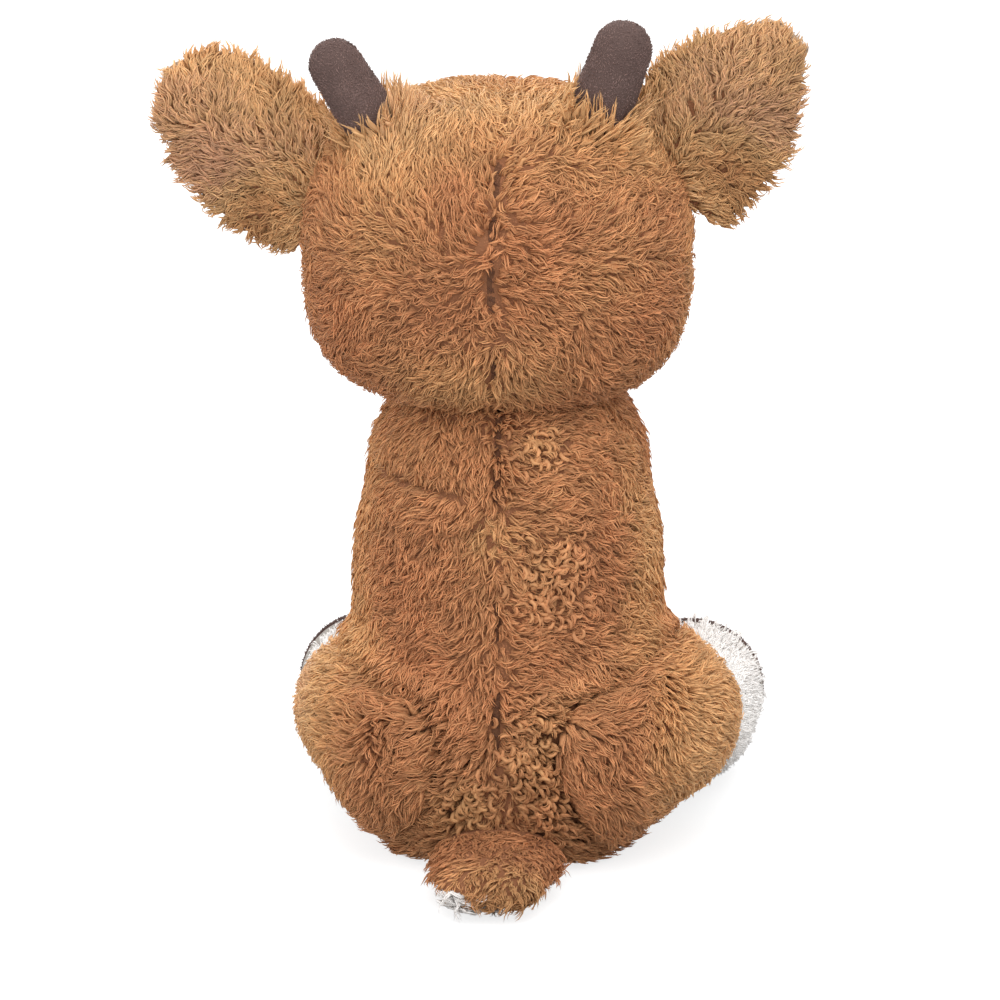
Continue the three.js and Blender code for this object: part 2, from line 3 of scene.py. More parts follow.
import bpy
import numpy as np
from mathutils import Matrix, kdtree


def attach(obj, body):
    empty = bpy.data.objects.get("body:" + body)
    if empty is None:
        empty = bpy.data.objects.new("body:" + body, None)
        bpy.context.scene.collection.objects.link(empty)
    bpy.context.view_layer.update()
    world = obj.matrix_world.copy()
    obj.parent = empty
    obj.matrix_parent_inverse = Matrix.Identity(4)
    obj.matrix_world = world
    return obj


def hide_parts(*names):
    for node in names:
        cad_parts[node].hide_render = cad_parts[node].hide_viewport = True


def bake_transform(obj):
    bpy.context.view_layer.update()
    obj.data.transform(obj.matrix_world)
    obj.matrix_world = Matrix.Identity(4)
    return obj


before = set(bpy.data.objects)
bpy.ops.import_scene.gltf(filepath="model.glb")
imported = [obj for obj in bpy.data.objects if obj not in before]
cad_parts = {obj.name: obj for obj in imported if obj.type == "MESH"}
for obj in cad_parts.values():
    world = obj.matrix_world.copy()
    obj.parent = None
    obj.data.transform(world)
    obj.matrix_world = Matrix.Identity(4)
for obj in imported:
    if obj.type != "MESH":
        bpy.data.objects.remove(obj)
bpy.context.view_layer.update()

# Torso cover: brown long-pile plush, sewn up the back and pressed flat by the seat, with a white belly
# panel let into the front. This is the knitted backing; forms are in millimetres until they are meshes.
MM = 0.001
BODY_WIDTH = 95
BODY_DEPTH = 91
SHOULDER_HEIGHT = 112
SHOULDER_WIDTH = 87
DOME_RADIUS = 44
DOME_SETBACK = -2
SEAT_CUT = 0.5
BODY_SHARES = [
    [0, 0.6, 0.63],
    [0.05, 0.83, 0.86],
    [0.14, 0.94, 0.95],
    [0.3, 1, 1],
    [0.5, 1, 0.985],
    [0.7, 1, 0.965],
    [0.87, 0.975, 0.96],
]
PILE_DEPTH = 4.4  # from the backing to the level that the pile's tips lie at
BACKING = 1.0
PILE_FOOT = 1.5  # how far out from the backing the pile's feet are too dense to see into
SEAM_X = 0.8
SEAM_PULL = 0.4  # how deep the thread pulls a closed seam in
SEAM_GROOVE = 2.2  # how far that pull reaches to each side
BODY_SWELL = 1.6  # how much deeper the back seam lies where the pile has parted by a millimetre
CREASE_X = 22.5
CREASE_Z = 119
CREASE_LENGTH = 21
CREASE_DEPTH = 2.4
CREASE_WIDTH = 2.4
BELLY_WIDTH = 56
BELLY_HEIGHT = 92
BELLY_MIDDLE = 66
BODY_PARTING = (  # levels up the back seam, and how far the pile keeps off it on each side there
    [38, 43, 58, 62, 73, 77, 86, 90, 116, 120, 130, 133, 136, 147, 150],
    [0.1, 0.5, 0.5, 0.1, 0.1, 0.55, 0.55, 0.1, 0.1, 0.8, 0.8, 0.3, 0.8, 0.8, 0.1],
)


def unit(vectors):
    return vectors / np.maximum(np.linalg.norm(vectors, axis=-1, keepdims=True), 1e-9)


def smooth_line(rows, steps):
    """Points of a smooth line through the rows, with so many steps between two of them."""
    rows = np.array(rows, float)
    knots = np.append(0, np.cumsum(np.linalg.norm(np.diff(rows, axis=0), axis=1) ** 0.5))
    slopes = np.gradient(rows, knots, axis=0)
    share = np.linspace(0, 1, steps, endpoint=False)[None, :, None]
    gap = np.diff(knots)[:, None, None]
    ends = [rows[:-1, None], rows[1:, None], slopes[:-1, None] * gap, slopes[1:, None] * gap]
    line = ends[0] * (2 * share**3 - 3 * share**2 + 1) + ends[2] * (share**3 - 2 * share**2 + share)
    line = line + ends[1] * (3 * share**2 - 2 * share**3) + ends[3] * (share**3 - share**2)
    return np.vstack([line.reshape(-1, rows.shape[1]), rows[-1:]])


def fading(gap, size):
    """1 where there's no gap, and less the further off, with little left beyond twice that size."""
    return np.exp(-((gap / size) ** 2))


def ripple(points, size, seed):
    """A smooth random value at each point, mostly from -1 to 1, that changes over about that size."""
    dice = np.random.default_rng(seed)
    waves = unit(dice.normal(size=(10, 3))) * (2 * math.pi / size) * dice.uniform(0.6, 1.3, (10, 1))
    return np.sin(points @ waves.T + dice.uniform(0, 2 * math.pi, 10)).sum(-1) / math.sqrt(10)


class Form:
    """A closed soft shape as rings of points, the first and last ring drawn together to a point."""

    def __init__(self, rings, normals=None):
        self.points = np.array(rings, float)
        if normals is None:
            around = np.roll(self.points, -1, 1) - np.roll(self.points, 1, 1)
            normals = unit(np.cross(around, np.gradient(self.points, axis=0)))
            normals[0] = unit(normals[1].mean(0))
            normals[-1] = unit(normals[-2].mean(0))
        self.normals = normals
        self.tree = None

    def inset(self, depth):
        return Form(self.points - self.normals * depth, self.normals)

    def nearest(self, points):
        """The place and the facing of this form's surface nearest each point."""
        flat = self.points.reshape(-1, 3)
        if self.tree is None:
            self.tree = kdtree.KDTree(len(flat))
            for number, point in enumerate(flat):
                self.tree.insert(point, number)
            self.tree.balance()
        found = np.array([self.tree.find(point)[1] for point in points], int)
        return flat[found], self.normals.reshape(-1, 3)[found]

    def height_over(self, points):
        """How far each point lies outside this form's surface, or, below zero, inside it."""
        place, facing = self.nearest(points)
        return ((points - place) * facing).sum(-1)

    def mesh(self, name, keep=None, thickness=BACKING, foot=0.0):
        """A sheet of cloth over the form where keep says so, its thickness inwards and its foot outwards."""
        rows, sides = self.points.shape[:2]
        row, side = np.meshgrid(np.arange(rows - 1), np.arange(sides), indexing="ij")
        corners = np.stack([row * sides + side, row * sides + (side + 1) % sides], -1).reshape(-1, 2)
        faces = np.hstack([corners, corners[:, ::-1] + sides])
        flat = self.points.reshape(-1, 3)
        if keep is not None:
            faces = faces[keep(flat[faces].mean(1))]
        number = np.arange(len(flat))
        number[:sides] = 0
        number[-sides:] = len(flat) - 1
        faces = [list(dict.fromkeys(face)) for face in number[faces].tolist()]
        used = sorted({corner for face in faces for corner in face})
        renumbered = dict(zip(used, range(len(used))))
        piece = new_piece(name, flat[used], [[renumbered[c] for c in face] for face in faces])
        return thickened(piece, thickness, foot) if thickness else piece

    def scatter(self, spacing, seed):
        """Roots spread evenly over the form about that far apart, with their outward directions."""
        dice = np.random.default_rng(seed)
        nearer = self.points[:-1]
        further = self.points[1:]
        across = np.roll(further, -1, 1) - nearer
        area = np.linalg.norm(np.cross(across, np.roll(nearer, -1, 1) - further), axis=-1).ravel() / 2
        count = int(area.sum() / spacing**2 * 3.2)
        cell = dice.choice(len(area), count, p=area / area.sum())
        row, side = np.divmod(cell, self.points.shape[1])
        beside = (side + 1) % self.points.shape[1]
        u = dice.random((count, 1))
        v = dice.random((count, 1))
        def mix(values):
            near = values[row, side] * (1 - u) + values[row, beside] * u
            far = values[row + 1, side] * (1 - u) + values[row + 1, beside] * u
            return near * (1 - v) + far * v

        roots = mix(self.points)
        normals = unit(mix(self.normals))
        chosen = apart(roots, spacing)
        return roots[chosen], normals[chosen]


def apart(points, spacing):
    """The numbers of points no two of which lie closer than the spacing."""
    cells = np.floor(points / spacing).astype(int).tolist()
    places = points.tolist()
    steps = [(x, y, z) for x in (-1, 0, 1) for y in (-1, 0, 1) for z in (-1, 0, 1)]
    taken = {}
    chosen = []
    for number, (x, y, z) in enumerate(cells):
        px, py, pz = places[number]
        for dx, dy, dz in steps:
            near = taken.get((x + dx, y + dy, z + dz), ())
            if any((a - px) ** 2 + (b - py) ** 2 + (c - pz) ** 2 < spacing**2 for a, b, c in near):
                break
        else:
            taken.setdefault((x, y, z), []).append((px, py, pz))
            chosen.append(number)
    return np.array(chosen, int)


def placed(name, data):
    """A new thing in the scene: a mesh, a lamp or a camera."""
    thing = bpy.data.objects.new(name, data)
    bpy.context.scene.collection.objects.link(thing)
    return thing


def new_piece(name, points, faces, smooth=True):
    """A piece made of points in millimetres and the faces between them."""
    cloth = bpy.data.meshes.new(name)
    cloth.from_pydata(points * MM, [], faces)
    if smooth:
        cloth.polygons.foreach_set("use_smooth", np.ones(len(faces), bool))
    return placed(name, cloth)


def thickened(piece, thickness, foot=0.0):
    """The piece with its thickness added inwards and its foot outwards."""
    solid = piece.modifiers.new("thickness", "SOLIDIFY")
    solid.thickness = (thickness + foot) * MM
    solid.offset = (foot - thickness) / (foot + thickness)
    bpy.context.view_layer.objects.active = piece
    bpy.ops.object.modifier_apply(modifier=solid.name)
    return piece


def torso_form():
    low = -SEAT_CUT
    rows = [[low, 0, 0, 0]]
    for rise, wide, deep in BODY_SHARES:
        level = low + (SHOULDER_HEIGHT - low) * rise
        rows.append([level, DOME_SETBACK * rise, BODY_WIDTH / 2 * wide, BODY_DEPTH / 2 * deep])
    for turn in np.radians([0, 18, 36, 54, 72, 90]):
        level = SHOULDER_HEIGHT + DOME_RADIUS * math.sin(turn)
        narrow = math.cos(turn)
        rows.append([level, DOME_SETBACK, SHOULDER_WIDTH / 2 * narrow, DOME_RADIUS * narrow])
    rows = smooth_line(rows, 6)
    turn = np.linspace(0, 2 * math.pi, 120, endpoint=False)
    level, middle, wide, deep = (rows[:, i : i + 1] for i in range(4))
    wide = np.maximum(wide, 0)
    deep = np.maximum(deep, 0)
    return Form(np.stack([wide * np.cos(turn), middle + deep * np.sin(turn), level + 0 * turn], -1))


def creased(form, gap, depth, width):
    """The form pulled in along a seam line, where gap is each point's distance from it."""
    return Form(form.points - form.normals * (depth * fading(gap, width))[..., None])


def back_seam(points):
    return np.where(points[..., 1] > 0, points[..., 0] - SEAM_X, 99)


def crease_gap(points):
    """How far points lie from the short sewn crease on the left of the back."""
    past = np.maximum(np.abs(points[..., 0] - CREASE_X) - CREASE_LENGTH / 2, 0)
    return np.where(points[..., 1] > 0, np.hypot(points[..., 2] - CREASE_Z, past), 99)


def on_belly(points, grow=0):
    wide = points[..., 0] / (BELLY_WIDTH / 2 + grow)
    high = (points[..., 2] - BELLY_MIDDLE) / (BELLY_HEIGHT / 2 + grow)
    return (points[..., 1] < 0) & (wide**2 + high**2 < 1)


class Wiring:
    """The nodes of a material or of the sky, with values or other nodes' outputs fed into their inputs."""

    def __init__(self, owner):
        owner.use_nodes = True
        self.tree = owner.node_tree

    def feed(self, node, inputs):
        for socket, value in inputs.items():
            if isinstance(value, bpy.types.NodeSocket):
                self.tree.links.new(value, node.inputs[socket])
            else:
                node.inputs[socket].default_value = value
        return node

    def add(self, kind, inputs, operation=None):
        node = self.tree.nodes.new(f"ShaderNode{kind}")
        if operation:
            node.operation = operation
        return self.feed(node, inputs)

    def worked(self, operation, first, second=0):
        """What comes of a sum with one value or two."""
        return self.add("Math", {0: first, 1: second}, operation).outputs[0]

    def ramp(self, share, stops):
        """The colour at a share of the way along the stops, each a place from 0 to 1 and a colour."""
        node = self.add("ValToRGB", {"Fac": share})
        elements = node.color_ramp.elements
        while len(elements) < len(stops):
            elements.new(0.5)
        for number, (place, colour) in enumerate(stops):
            elements[number].position = place
            elements[number].color = (*colour, 1)
        return node.outputs["Color"]

    def noise(self, size):
        """Blotches of about that size in millimetres."""
        place = self.add("TexCoord", {}).outputs["Object"]
        return self.add("TexNoise", {"Scale": 1 / (size * MM), "Vector": place}).outputs["Fac"]

    def paint(self, inputs):
        """What the material's shader shows."""
        self.feed(self.tree.nodes["Principled BSDF"], inputs)


def times(colour, share):
    return [c * share for c in colour]


def cloth_material(name, colour, roughness, weave=0.7, bump=0.5, sheen=0.0):
    """A knitted cloth: rows of small loops in its colour and its bump."""
    material = bpy.data.materials.new(name)
    wiring = Wiring(material)
    place = wiring.add("TexCoord", {}).outputs["Object"]
    loops = wiring.add("TexVoronoi", {"Scale": 1 / (weave * MM), "Vector": place}).outputs["Distance"]
    relief = wiring.add("Bump", {"Strength": bump, "Distance": 0.3 * MM, "Height": loops})
    relief.invert = True
    both = wiring.worked("ADD", loops, wiring.noise(9))
    wiring.paint({
        "Base Color": wiring.ramp(both, [(0.5, times(colour, 1.25)), (1.3 / 1.4, times(colour, 0.7))]),
        "Roughness": roughness,
        "Specular IOR Level": 0.2,
        "Sheen Weight": sheen,
        "Normal": relief.outputs["Normal"],
    })
    return material


def colour_of(red, green, blue):
    """A colour given as it looks on a screen, from 0 to 255."""
    return tuple(((c / 255 + 0.055) / 1.055) ** 2.4 for c in (red, green, blue))


def rides(body):
    """What makes a piece ride on one body."""
    return lambda piece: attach(piece, body)


def bends(start, end):
    """What bakes a piece's place into its own mesh; start and end are not used."""
    start, end = (tuple(np.array(point) * MM) for point in (start, end))
    return lambda piece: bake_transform(piece)


def dress(piece, cloth, hold, node=None):
    """A piece's material, what carries it and the CAD node it stands for, which is hidden."""
    piece.data.materials.append(cloth[0])
    hold(piece)
    if node:
        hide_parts(node)


def thread_mesh(name, lines, radius):
    """Sewing thread laid along lines of points, each a closed round length with drawn-in ends."""
    sides = 8
    turn = np.linspace(0, 2 * math.pi, sides, endpoint=False)[:, None]
    points = []
    faces = []
    for line in lines:
        line = np.array(line, float)
        ahead = unit(np.gradient(line, axis=0))
        wide = unit(np.cross(ahead, [0.3, 0.2, 0.93]))
        high = np.cross(ahead, wide)
        for at, share in enumerate(np.sin(np.linspace(0.12, math.pi - 0.12, len(line))) ** 0.3):
            ring = wide[at] * np.cos(turn) + high[at] * np.sin(turn)
            points.append(line[at] + ring * radius * share)
        first = (len(points) - len(line)) * sides
        last = (len(points) - 1) * sides
        for at in range(first, last, sides):
            over = at + sides
            faces += [(at + i, at + (i + 1) % sides, over + (i + 1) % sides, over + i) for i in range(sides)]
        faces += [tuple(range(first + sides - 1, first - 1, -1)), tuple(range(last, last + sides))]
    return new_piece(name, np.vstack(points), faces)


SEAM_STEP = 1.5  # between two points along a seam, which is half the space between its stitches
SEAM_REACH = 1.6  # how far the turned-in edges show to each side of a seam
SEAM_LIFT = 0.9  # how much further out they stand where the pile has parted
STITCH_REACH = 0.9
SEAM_THREAD = 0.2


def seam_pieces(name, form, parting, swell, middle, low, high, body):
    """The turned-in edges of the cloth along a seam up the back of a form, and the thread sewn over them."""
    column = form.points[:, form.points.shape[1] // 4]
    levels = np.arange(low, high, SEAM_STEP)
    opening = np.interp(levels, *parting)
    depth = SEAM_PULL + swell * opening
    bottom = np.interp(levels, column[:, 2], column[:, 1]) - depth
    shown = np.clip((opening - 0.1) / 0.4, 0, 1)
    across = np.linspace(-SEAM_REACH, SEAM_REACH, 9)
    rise = depth[:, None] * (1 - fading(across, SEAM_GROOVE)) + 0.25 * fading(across, 0.4)
    rise += PILE_FOOT - 0.5 + SEAM_LIFT * shown[:, None] - 1.2 * (across / SEAM_REACH) ** 4
    x = middle(levels)[:, None] + across
    sheet = np.stack([x, bottom[:, None] + 0.2 + rise, levels[:, None] + 0 * x], -1)
    number = np.arange(sheet.shape[0] * len(across)).reshape(-1, len(across))
    corners = [number[:-1, 1:], number[:-1, :-1], number[1:, :-1], number[1:, 1:]]
    faces = np.stack(corners, -1).reshape(-1, 4).tolist()
    edges = thickened(new_piece(f"{name}_edges", sheet.reshape(-1, 3), faces, smooth=False), 0.3)
    lines = []
    for at in range(0, len(levels), 2):
        crown = bottom[at] + PILE_FOOT + 0.1 + SEAM_LIFT * shown[at]
        lines.append([(middle(levels[at]) + t, crown - 0.1 * t * t, levels[at] + 0.8 * t)
                      for t in np.linspace(-STITCH_REACH, STITCH_REACH, 7)])
    # The edges take the darker seam cloth: painted shade in the slot.
    dress(edges, seam_cloth_painted_shade, rides(body))
    dress(thread_mesh(f"{name}_thread", lines, SEAM_THREAD), brown_thread, rides(body))


brown_backing = (cloth_material("brown_backing", colour_of(158, 106, 74), 0.9), "brown_plush")
# The seam's turned-in edges are coloured darker than the backing: painted shade in the seam's slot.
seam_cloth_painted_shade = (cloth_material("seam_cloth_painted_shade", colour_of(120, 82, 60), 0.95, weave=0.5), "brown_plush")
white_backing = (cloth_material("white_backing", colour_of(222, 214, 206), 0.9), "white_plush")
brown_thread = (cloth_material("brown_thread", colour_of(112, 76, 60), 0.7, weave=0.35), "brown_plush")

torso_outer = torso_form()
torso = torso_outer.inset(PILE_DEPTH)
seam_pieces("body_seam", torso, BODY_PARTING, BODY_SWELL, lambda z: SEAM_X + 0 * z, 24, 148, "torso")
depth = SEAM_PULL + BODY_SWELL * np.interp(torso.points[..., 2], *BODY_PARTING)
torso = creased(torso, back_seam(torso.points), depth, SEAM_GROOVE)
torso = creased(torso, crease_gap(torso.points), CREASE_DEPTH, CREASE_WIDTH)
torso.points[..., 2] = np.maximum(torso.points[..., 2], 0.4)
body_cover = torso.mesh("body_cover", keep=lambda p: ~on_belly(p), foot=PILE_FOOT)
belly_cover = torso.mesh("belly_cover", keep=on_belly, foot=PILE_FOOT)
dress(body_cover, brown_backing, rides("torso"), "body_skin")
dress(belly_cover, white_backing, rides("torso"), "belly_panel")

# Head cover: two brown plush sides sewn together up the back of the head and over the crown, stuffed round
# with full jowls, and open underneath where it is sewn to the shoulders.
HEAD_CENTRE = np.array([3.5, -6, 185])
HEAD_HALF = np.array([59, 52, 48])
HEAD_SQUARENESS = 2.2
CROWN_SQUARENESS = 2.3
JOWL_SQUARENESS = 3.3
SHOULDER_GAP = 0.6
HEAD_SWELL = 1.3
HEAD_SEAM = ([140, 161, 186, 202, 225], [0.8, 1.5, 2.2, 2.0, 0.4])  # levels, and how far left the seam is
HEAD_PARTING = (  # the pile parts widely at four places, where the seam has pulled open a little
    [154, 157, 163, 166, 178, 182, 188, 192, 198, 200, 203, 206, 209, 212, 216, 220],
    [0.1, 0.9, 0.9, 0.1, 0.1, 1.3, 1.3, 0.1, 0.1, 1.0, 1.0, 0.1, 0.1, 1.1, 1.1, 0.1],
)


def puffed_form(centre, half, level=2.0, top=2.0, under=2.0, sides=120):
    """A round form stuffed towards a box: an ellipsoid where each squareness is 2."""
    turn = np.linspace(0, 2 * math.pi, sides, endpoint=False)
    tilt = np.linspace(-math.pi / 2, math.pi / 2, sides // 2)[:, None]
    way = np.stack([np.cos(tilt) * np.cos(turn), np.cos(tilt) * np.sin(turn), np.sin(tilt) + 0 * turn], -1)
    outline = np.abs(way[..., 0]) ** level + np.abs(way[..., 1]) ** level
    power = np.where(way[..., 2] > 0, top, under)
    reach = outline ** (power / level) + np.abs(way[..., 2]) ** power
    return Form(centre + half * way * (reach ** (-1 / power))[..., None])


def head_seam(points):
    middle = np.interp(points[..., 2], *HEAD_SEAM)
    return np.where(points[..., 1] > -30, points[..., 0] - middle, 99)


head_outer = puffed_form(HEAD_CENTRE, HEAD_HALF, HEAD_SQUARENESS, CROWN_SQUARENESS, JOWL_SQUARENESS)
head = head_outer.inset(PILE_DEPTH)
seam_pieces("head_seam", head, HEAD_PARTING, HEAD_SWELL, lambda z: np.interp(z, *HEAD_SEAM), 154, 228, "head")
depth = SEAM_PULL + HEAD_SWELL * np.interp(head.points[..., 2], *HEAD_PARTING)
head = creased(head, head_seam(head.points), depth, SEAM_GROOVE)
head_cover = head.mesh("head_cover", keep=lambda p: torso_outer.height_over(p) > SHOULDER_GAP, foot=PILE_FOOT)
dress(head_cover, brown_backing, rides("head"), "head_skin")

# Muzzle: a small cup of white plush with its pile cut shorter, stuffed, and sewn by its open edge to the
# front of the head under the eyes.
MUZZLE_CENTRE = np.array([0, -53, 170])
MUZZLE_HALF = np.array([24, 24, 18.5])
MUZZLE_PILE_DEPTH = 3.0
muzzle_outer = puffed_form(MUZZLE_CENTRE, MUZZLE_HALF, sides=72)
muzzle = muzzle_outer.inset(MUZZLE_PILE_DEPTH)
muzzle_cover = muzzle.mesh("muzzle_cover", keep=lambda p: head.height_over(p) > -0.5)
dress(muzzle_cover, white_backing, rides("head"), "muzzle_skin")

# Mouth: three thick stitches of dark thread pulled into the muzzle's pile, one down from the nose and one
# curving to each side.
dark_thread = (cloth_material("dark_thread", colour_of(70, 54, 50), 0.7, weave=0.35), "dark_fleece")


def on_muzzle(x, z):
    """A point of the muzzle's front, just under the tips of its pile."""
    ratio = np.array([x / MUZZLE_HALF[0], (z - MUZZLE_CENTRE[2]) / MUZZLE_HALF[2]])
    return [x, MUZZLE_CENTRE[1] - MUZZLE_HALF[1] * math.sqrt(1 - ratio @ ratio) + 0.9, z]


mouth = [[on_muzzle(0, z) for z in np.linspace(171, 162.4, 12)]]
for side in (1, -1):
    mouth.append([on_muzzle(side * 8.5 * t, 162.6 - 3.2 * math.sin(2.2 * t)) for t in np.linspace(0, 1, 14)])
mouth_points = np.array([point for line in mouth for point in line])


def mouth_gap(points):
    return np.linalg.norm(points[:, None] - mouth_points[None], axis=-1).min(1)


dress(thread_mesh("mouth_stitches", mouth, 0.6), dark_thread, rides("head"))

# Nose: a pad of dark short-pile cloth, padded and sewn to the top of the muzzle's front.
NOSE_CENTRE = np.array([0, -77, 176])
NOSE_HALF = np.array([8.5, 5.5, 6])
nose_outer = puffed_form(NOSE_CENTRE, NOSE_HALF, 2.3, 2.4, 1.9, sides=48)
wide, deep, level = np.moveaxis(nose_outer.points, -1, 0)
taper = 1 - 0.22 * np.clip((NOSE_CENTRE[2] - level) / NOSE_HALF[2], 0, 1)
nose_outer = Form(np.stack([wide * taper, deep, level], -1))
nose_form = nose_outer.inset(0.5)
dark_backing = (cloth_material("dark_backing", colour_of(106, 86, 81), 0.85, weave=0.5), "dark_fleece")
dress(nose_form.mesh("nose_pad", thickness=0), dark_backing, rides("head"), "nose")

# Eyes: black moulded domes with a brown rim. Each has a ribbed shank through the cover, held inside the
# head by a pressed-on washer.
EYE_RADIUS = 6.25
EYE_DOME = 5.5
EYE_SINK = 3
EYE_RIM = 0.4
EYE_TURN = math.radians(27)
EYE_LIFT = math.radians(6)
SHANK_RADIUS = 1.6
SHANK_NECK = SHANK_RADIUS - 0.35
SHANK_LENGTH = 11
RIB_STEP = 1.6


def plastic_material(name, colour, roughness, mottle):
    """Moulded plastic: an even colour with faint flow marks and a slightly uneven gloss."""
    material = bpy.data.materials.new(name)
    wiring = Wiring(material)
    marks = wiring.noise(2.5)
    gloss = wiring.add("MapRange", {"To Min": roughness, "To Max": roughness * 1.8, "Value": marks})
    wiring.paint({
        "Base Color": wiring.ramp(marks, [(0, times(colour, 1 - mottle)), (1, times(colour, 1 + mottle))]),
        "IOR": 1.49,
        "Roughness": gloss.outputs["Result"],
    })
    return material


def turned_piece(name, outline, place, facing, sides):
    """A closed piece turned round its own axis: outline pairs are a radius and a height, in millimetres."""
    turn = np.linspace(0, 2 * math.pi, sides, endpoint=False)
    facing = unit(np.array(facing, float))
    wide = unit(np.cross(facing, [0, 0, 1]))
    high = np.cross(facing, wide)
    ring = wide * np.cos(turn)[:, None] + high * np.sin(turn)[:, None]
    rings = np.array([place + facing * height + ring * radius for radius, height in outline])
    form = Form(rings)
    if ((form.points - form.points.mean((0, 1))) * form.normals).sum() < 0:
        form = Form(rings[::-1])
    return form.mesh(name, thickness=0)


def head_point(way):
    """Where the head's outside lies in a direction from its centre."""
    way = np.array(way, float)
    ratio = np.abs(way / HEAD_HALF)
    power = CROWN_SQUARENESS if way[2] > 0 else JOWL_SQUARENESS
    outline = ratio[0] ** HEAD_SQUARENESS + ratio[1] ** HEAD_SQUARENESS
    return HEAD_CENTRE + way * (outline ** (power / HEAD_SQUARENESS) + ratio[2] ** power) ** (-1 / power)


eye_plastic = (plastic_material("eye_plastic", (0.012, 0.008, 0.007), 0.06, 0.25), "eye_plastic")
washer_plastic = plastic_material("washer_plastic", (0.72, 0.72, 0.70), 0.35, 0.05)

outline = [(0, -SHANK_LENGTH), (SHANK_RADIUS - 0.3, -SHANK_LENGTH)]
for rib in range(5):
    level = -SHANK_LENGTH + 0.4 + rib * RIB_STEP
    outline += [(SHANK_RADIUS, level), (SHANK_RADIUS, level + 0.5), (SHANK_NECK, level + 1.1)]
outline += [(SHANK_NECK, -0.3), (EYE_RADIUS - 0.6, -0.3), (EYE_RADIUS - 0.1, 0), (EYE_RADIUS, EYE_RIM)]
for step in range(1, 13):
    around = math.radians(step * 7.5)
    outline.append((EYE_RADIUS * math.cos(around), EYE_RIM + (EYE_DOME - EYE_RIM) * math.sin(around)))
eye_facings = {}
eye_places = {}
for word, side in [("left", 1), ("right", -1)]:
    ahead = math.cos(EYE_LIFT)
    facing = np.array([side * math.sin(EYE_TURN) * ahead, -math.cos(EYE_TURN) * ahead, math.sin(EYE_LIFT)])
    edge = head_point(facing) - facing * EYE_SINK
    eye_facings[word] = facing
    eye_places[word] = edge
    eye = turned_piece(f"eye_dome_{word}", outline, edge, facing, 64)
    dress(eye, eye_plastic, rides("head"), f"eye_{word}")
    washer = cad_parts[f"eye_washer_{word}"]
    washer.data.materials.clear()
    washer.data.materials.append(washer_plastic)

# Ears: a brown long-pile back and a pale short-pile lining, sewn edge to edge and turned, with no stuffing.
# Their edges curl a little forward, and each is sewn on by its gathered base.
EAR_SEAM = 7
EAR_CUP = 5
EAR_FORWARD = 4
EAR_EDGE = 3.2  # how far the backing stops short of the outline that its pile fills
LINING_EDGE = 1.0
EARS = {
    "left": {"side": 1, "length": 53.5, "width": 51, "lift": 12.5, "aim": 28, "sweep": 6},
    "right": {"side": -1, "length": 53.5, "width": 52.5, "lift": 23, "aim": 48, "sweep": 2},
}
EAR_SHARES = {
    "left": [(0, 0.9, 0), (0.3, 1, 0.2), (0.55, 0.96, 0.8), (0.77, 0.82, 1), (0.92, 0.5, 0.7)],
    "right": [(0, 0.98, 0), (0.3, 1, 0.2), (0.53, 0.92, 0.8), (0.78, 0.6, 1), (0.93, 0.34, 0.7)],
}


def limb_form(stations, across, tip_round=1.0, root_round=1.0, curl=(0, 0, 0), sides=72, steps=10, tip=None):
    """A limb along a smooth line through its stations: x, y, z, half width and half height of each."""
    rows = smooth_line(stations, steps)
    middle = rows[:, :3]
    ahead = unit(np.gradient(middle, axis=0))
    wide = unit(across - ahead * (ahead @ across)[:, None])
    high = np.cross(ahead, wide)
    turn = np.linspace(0, 2 * math.pi, sides, endpoint=False)[:, None]

    def ring(at, shift, scale):
        half_wide, half_high = rows[at, 3:] * scale
        centre = middle[at] + ahead[at] * shift + np.array(curl) * np.cos(turn) ** 2 * scale**2
        return centre + wide[at] * np.cos(turn) * half_wide + high[at] * np.sin(turn) * half_high

    caps = np.radians(np.arange(0, 90, 9))
    root_cap = rows[0, 3:].min() * root_round
    tip_cap = rows[-1, 3:].min() * tip_round if tip is None else tip
    rings = [ring(0, -root_cap * math.cos(c), math.sin(c)) for c in caps]
    rings += [ring(at, 0, 1) for at in range(len(rows))]
    rings += [ring(-1, tip_cap * math.cos(c), math.sin(c)) for c in caps[::-1]]
    return Form(rings)


def ear_form(word, cloth, forward, edge, wide_share=1.0):
    """One of an ear's two layers, the place where the ear starts, and its directions outwards and upwards."""
    ear = EARS[word]
    side = ear["side"]
    aim = math.radians(ear["aim"])
    lift = math.radians(ear["lift"])
    outward = np.array([side * math.cos(aim), 0, math.sin(aim)])
    upward = np.array([-side * outward[2], 0, side * outward[0]])
    base = head_point([side * math.cos(lift), -EAR_FORWARD / HEAD_HALF[0], math.sin(lift)])
    length = ear["length"] + EAR_SEAM
    stations = []
    for along, wide, shift in EAR_SHARES[word]:
        at = base + outward * (length * along - EAR_SEAM) + upward * ear["sweep"] * shift
        at = at - np.array([0, forward, 0])
        stations.append([*at, ear["width"] * wide * wide_share / 2 - edge, cloth / 2])
    tip = length * (1 - EAR_SHARES[word][-1][0]) - edge
    return limb_form(stations, upward, curl=(0, -EAR_CUP, 0), tip=max(tip, 1)), base, outward, upward


pale_backing = (cloth_material("pale_backing", colour_of(214, 186, 158), 0.9), "ear_lining_cloth")
ears = {}
ear_holds = {}
for word in EARS:
    form, base, outward, upward = ear_form(word, 1.8, 0.8, EAR_EDGE)
    lining = ear_form(word, 1.4, 3.4, LINING_EDGE, wide_share=0.9)[0]
    ears[word] = (form, lining, base, outward, upward)
    ear_holds[word] = bends(base - outward * 5, base + outward * 8)
    clear = lambda p: head.height_over(p) > -1
    back = form.mesh(f"ear_{word}_cover", keep=clear, thickness=0.5)
    front = lining.mesh(f"ear_{word}_lining_cloth", keep=clear, thickness=0.4)
    dress(back, brown_backing, ear_holds[word], f"ear_{word}_back")
    dress(front, pale_backing, ear_holds[word], f"ear_{word}_lining")

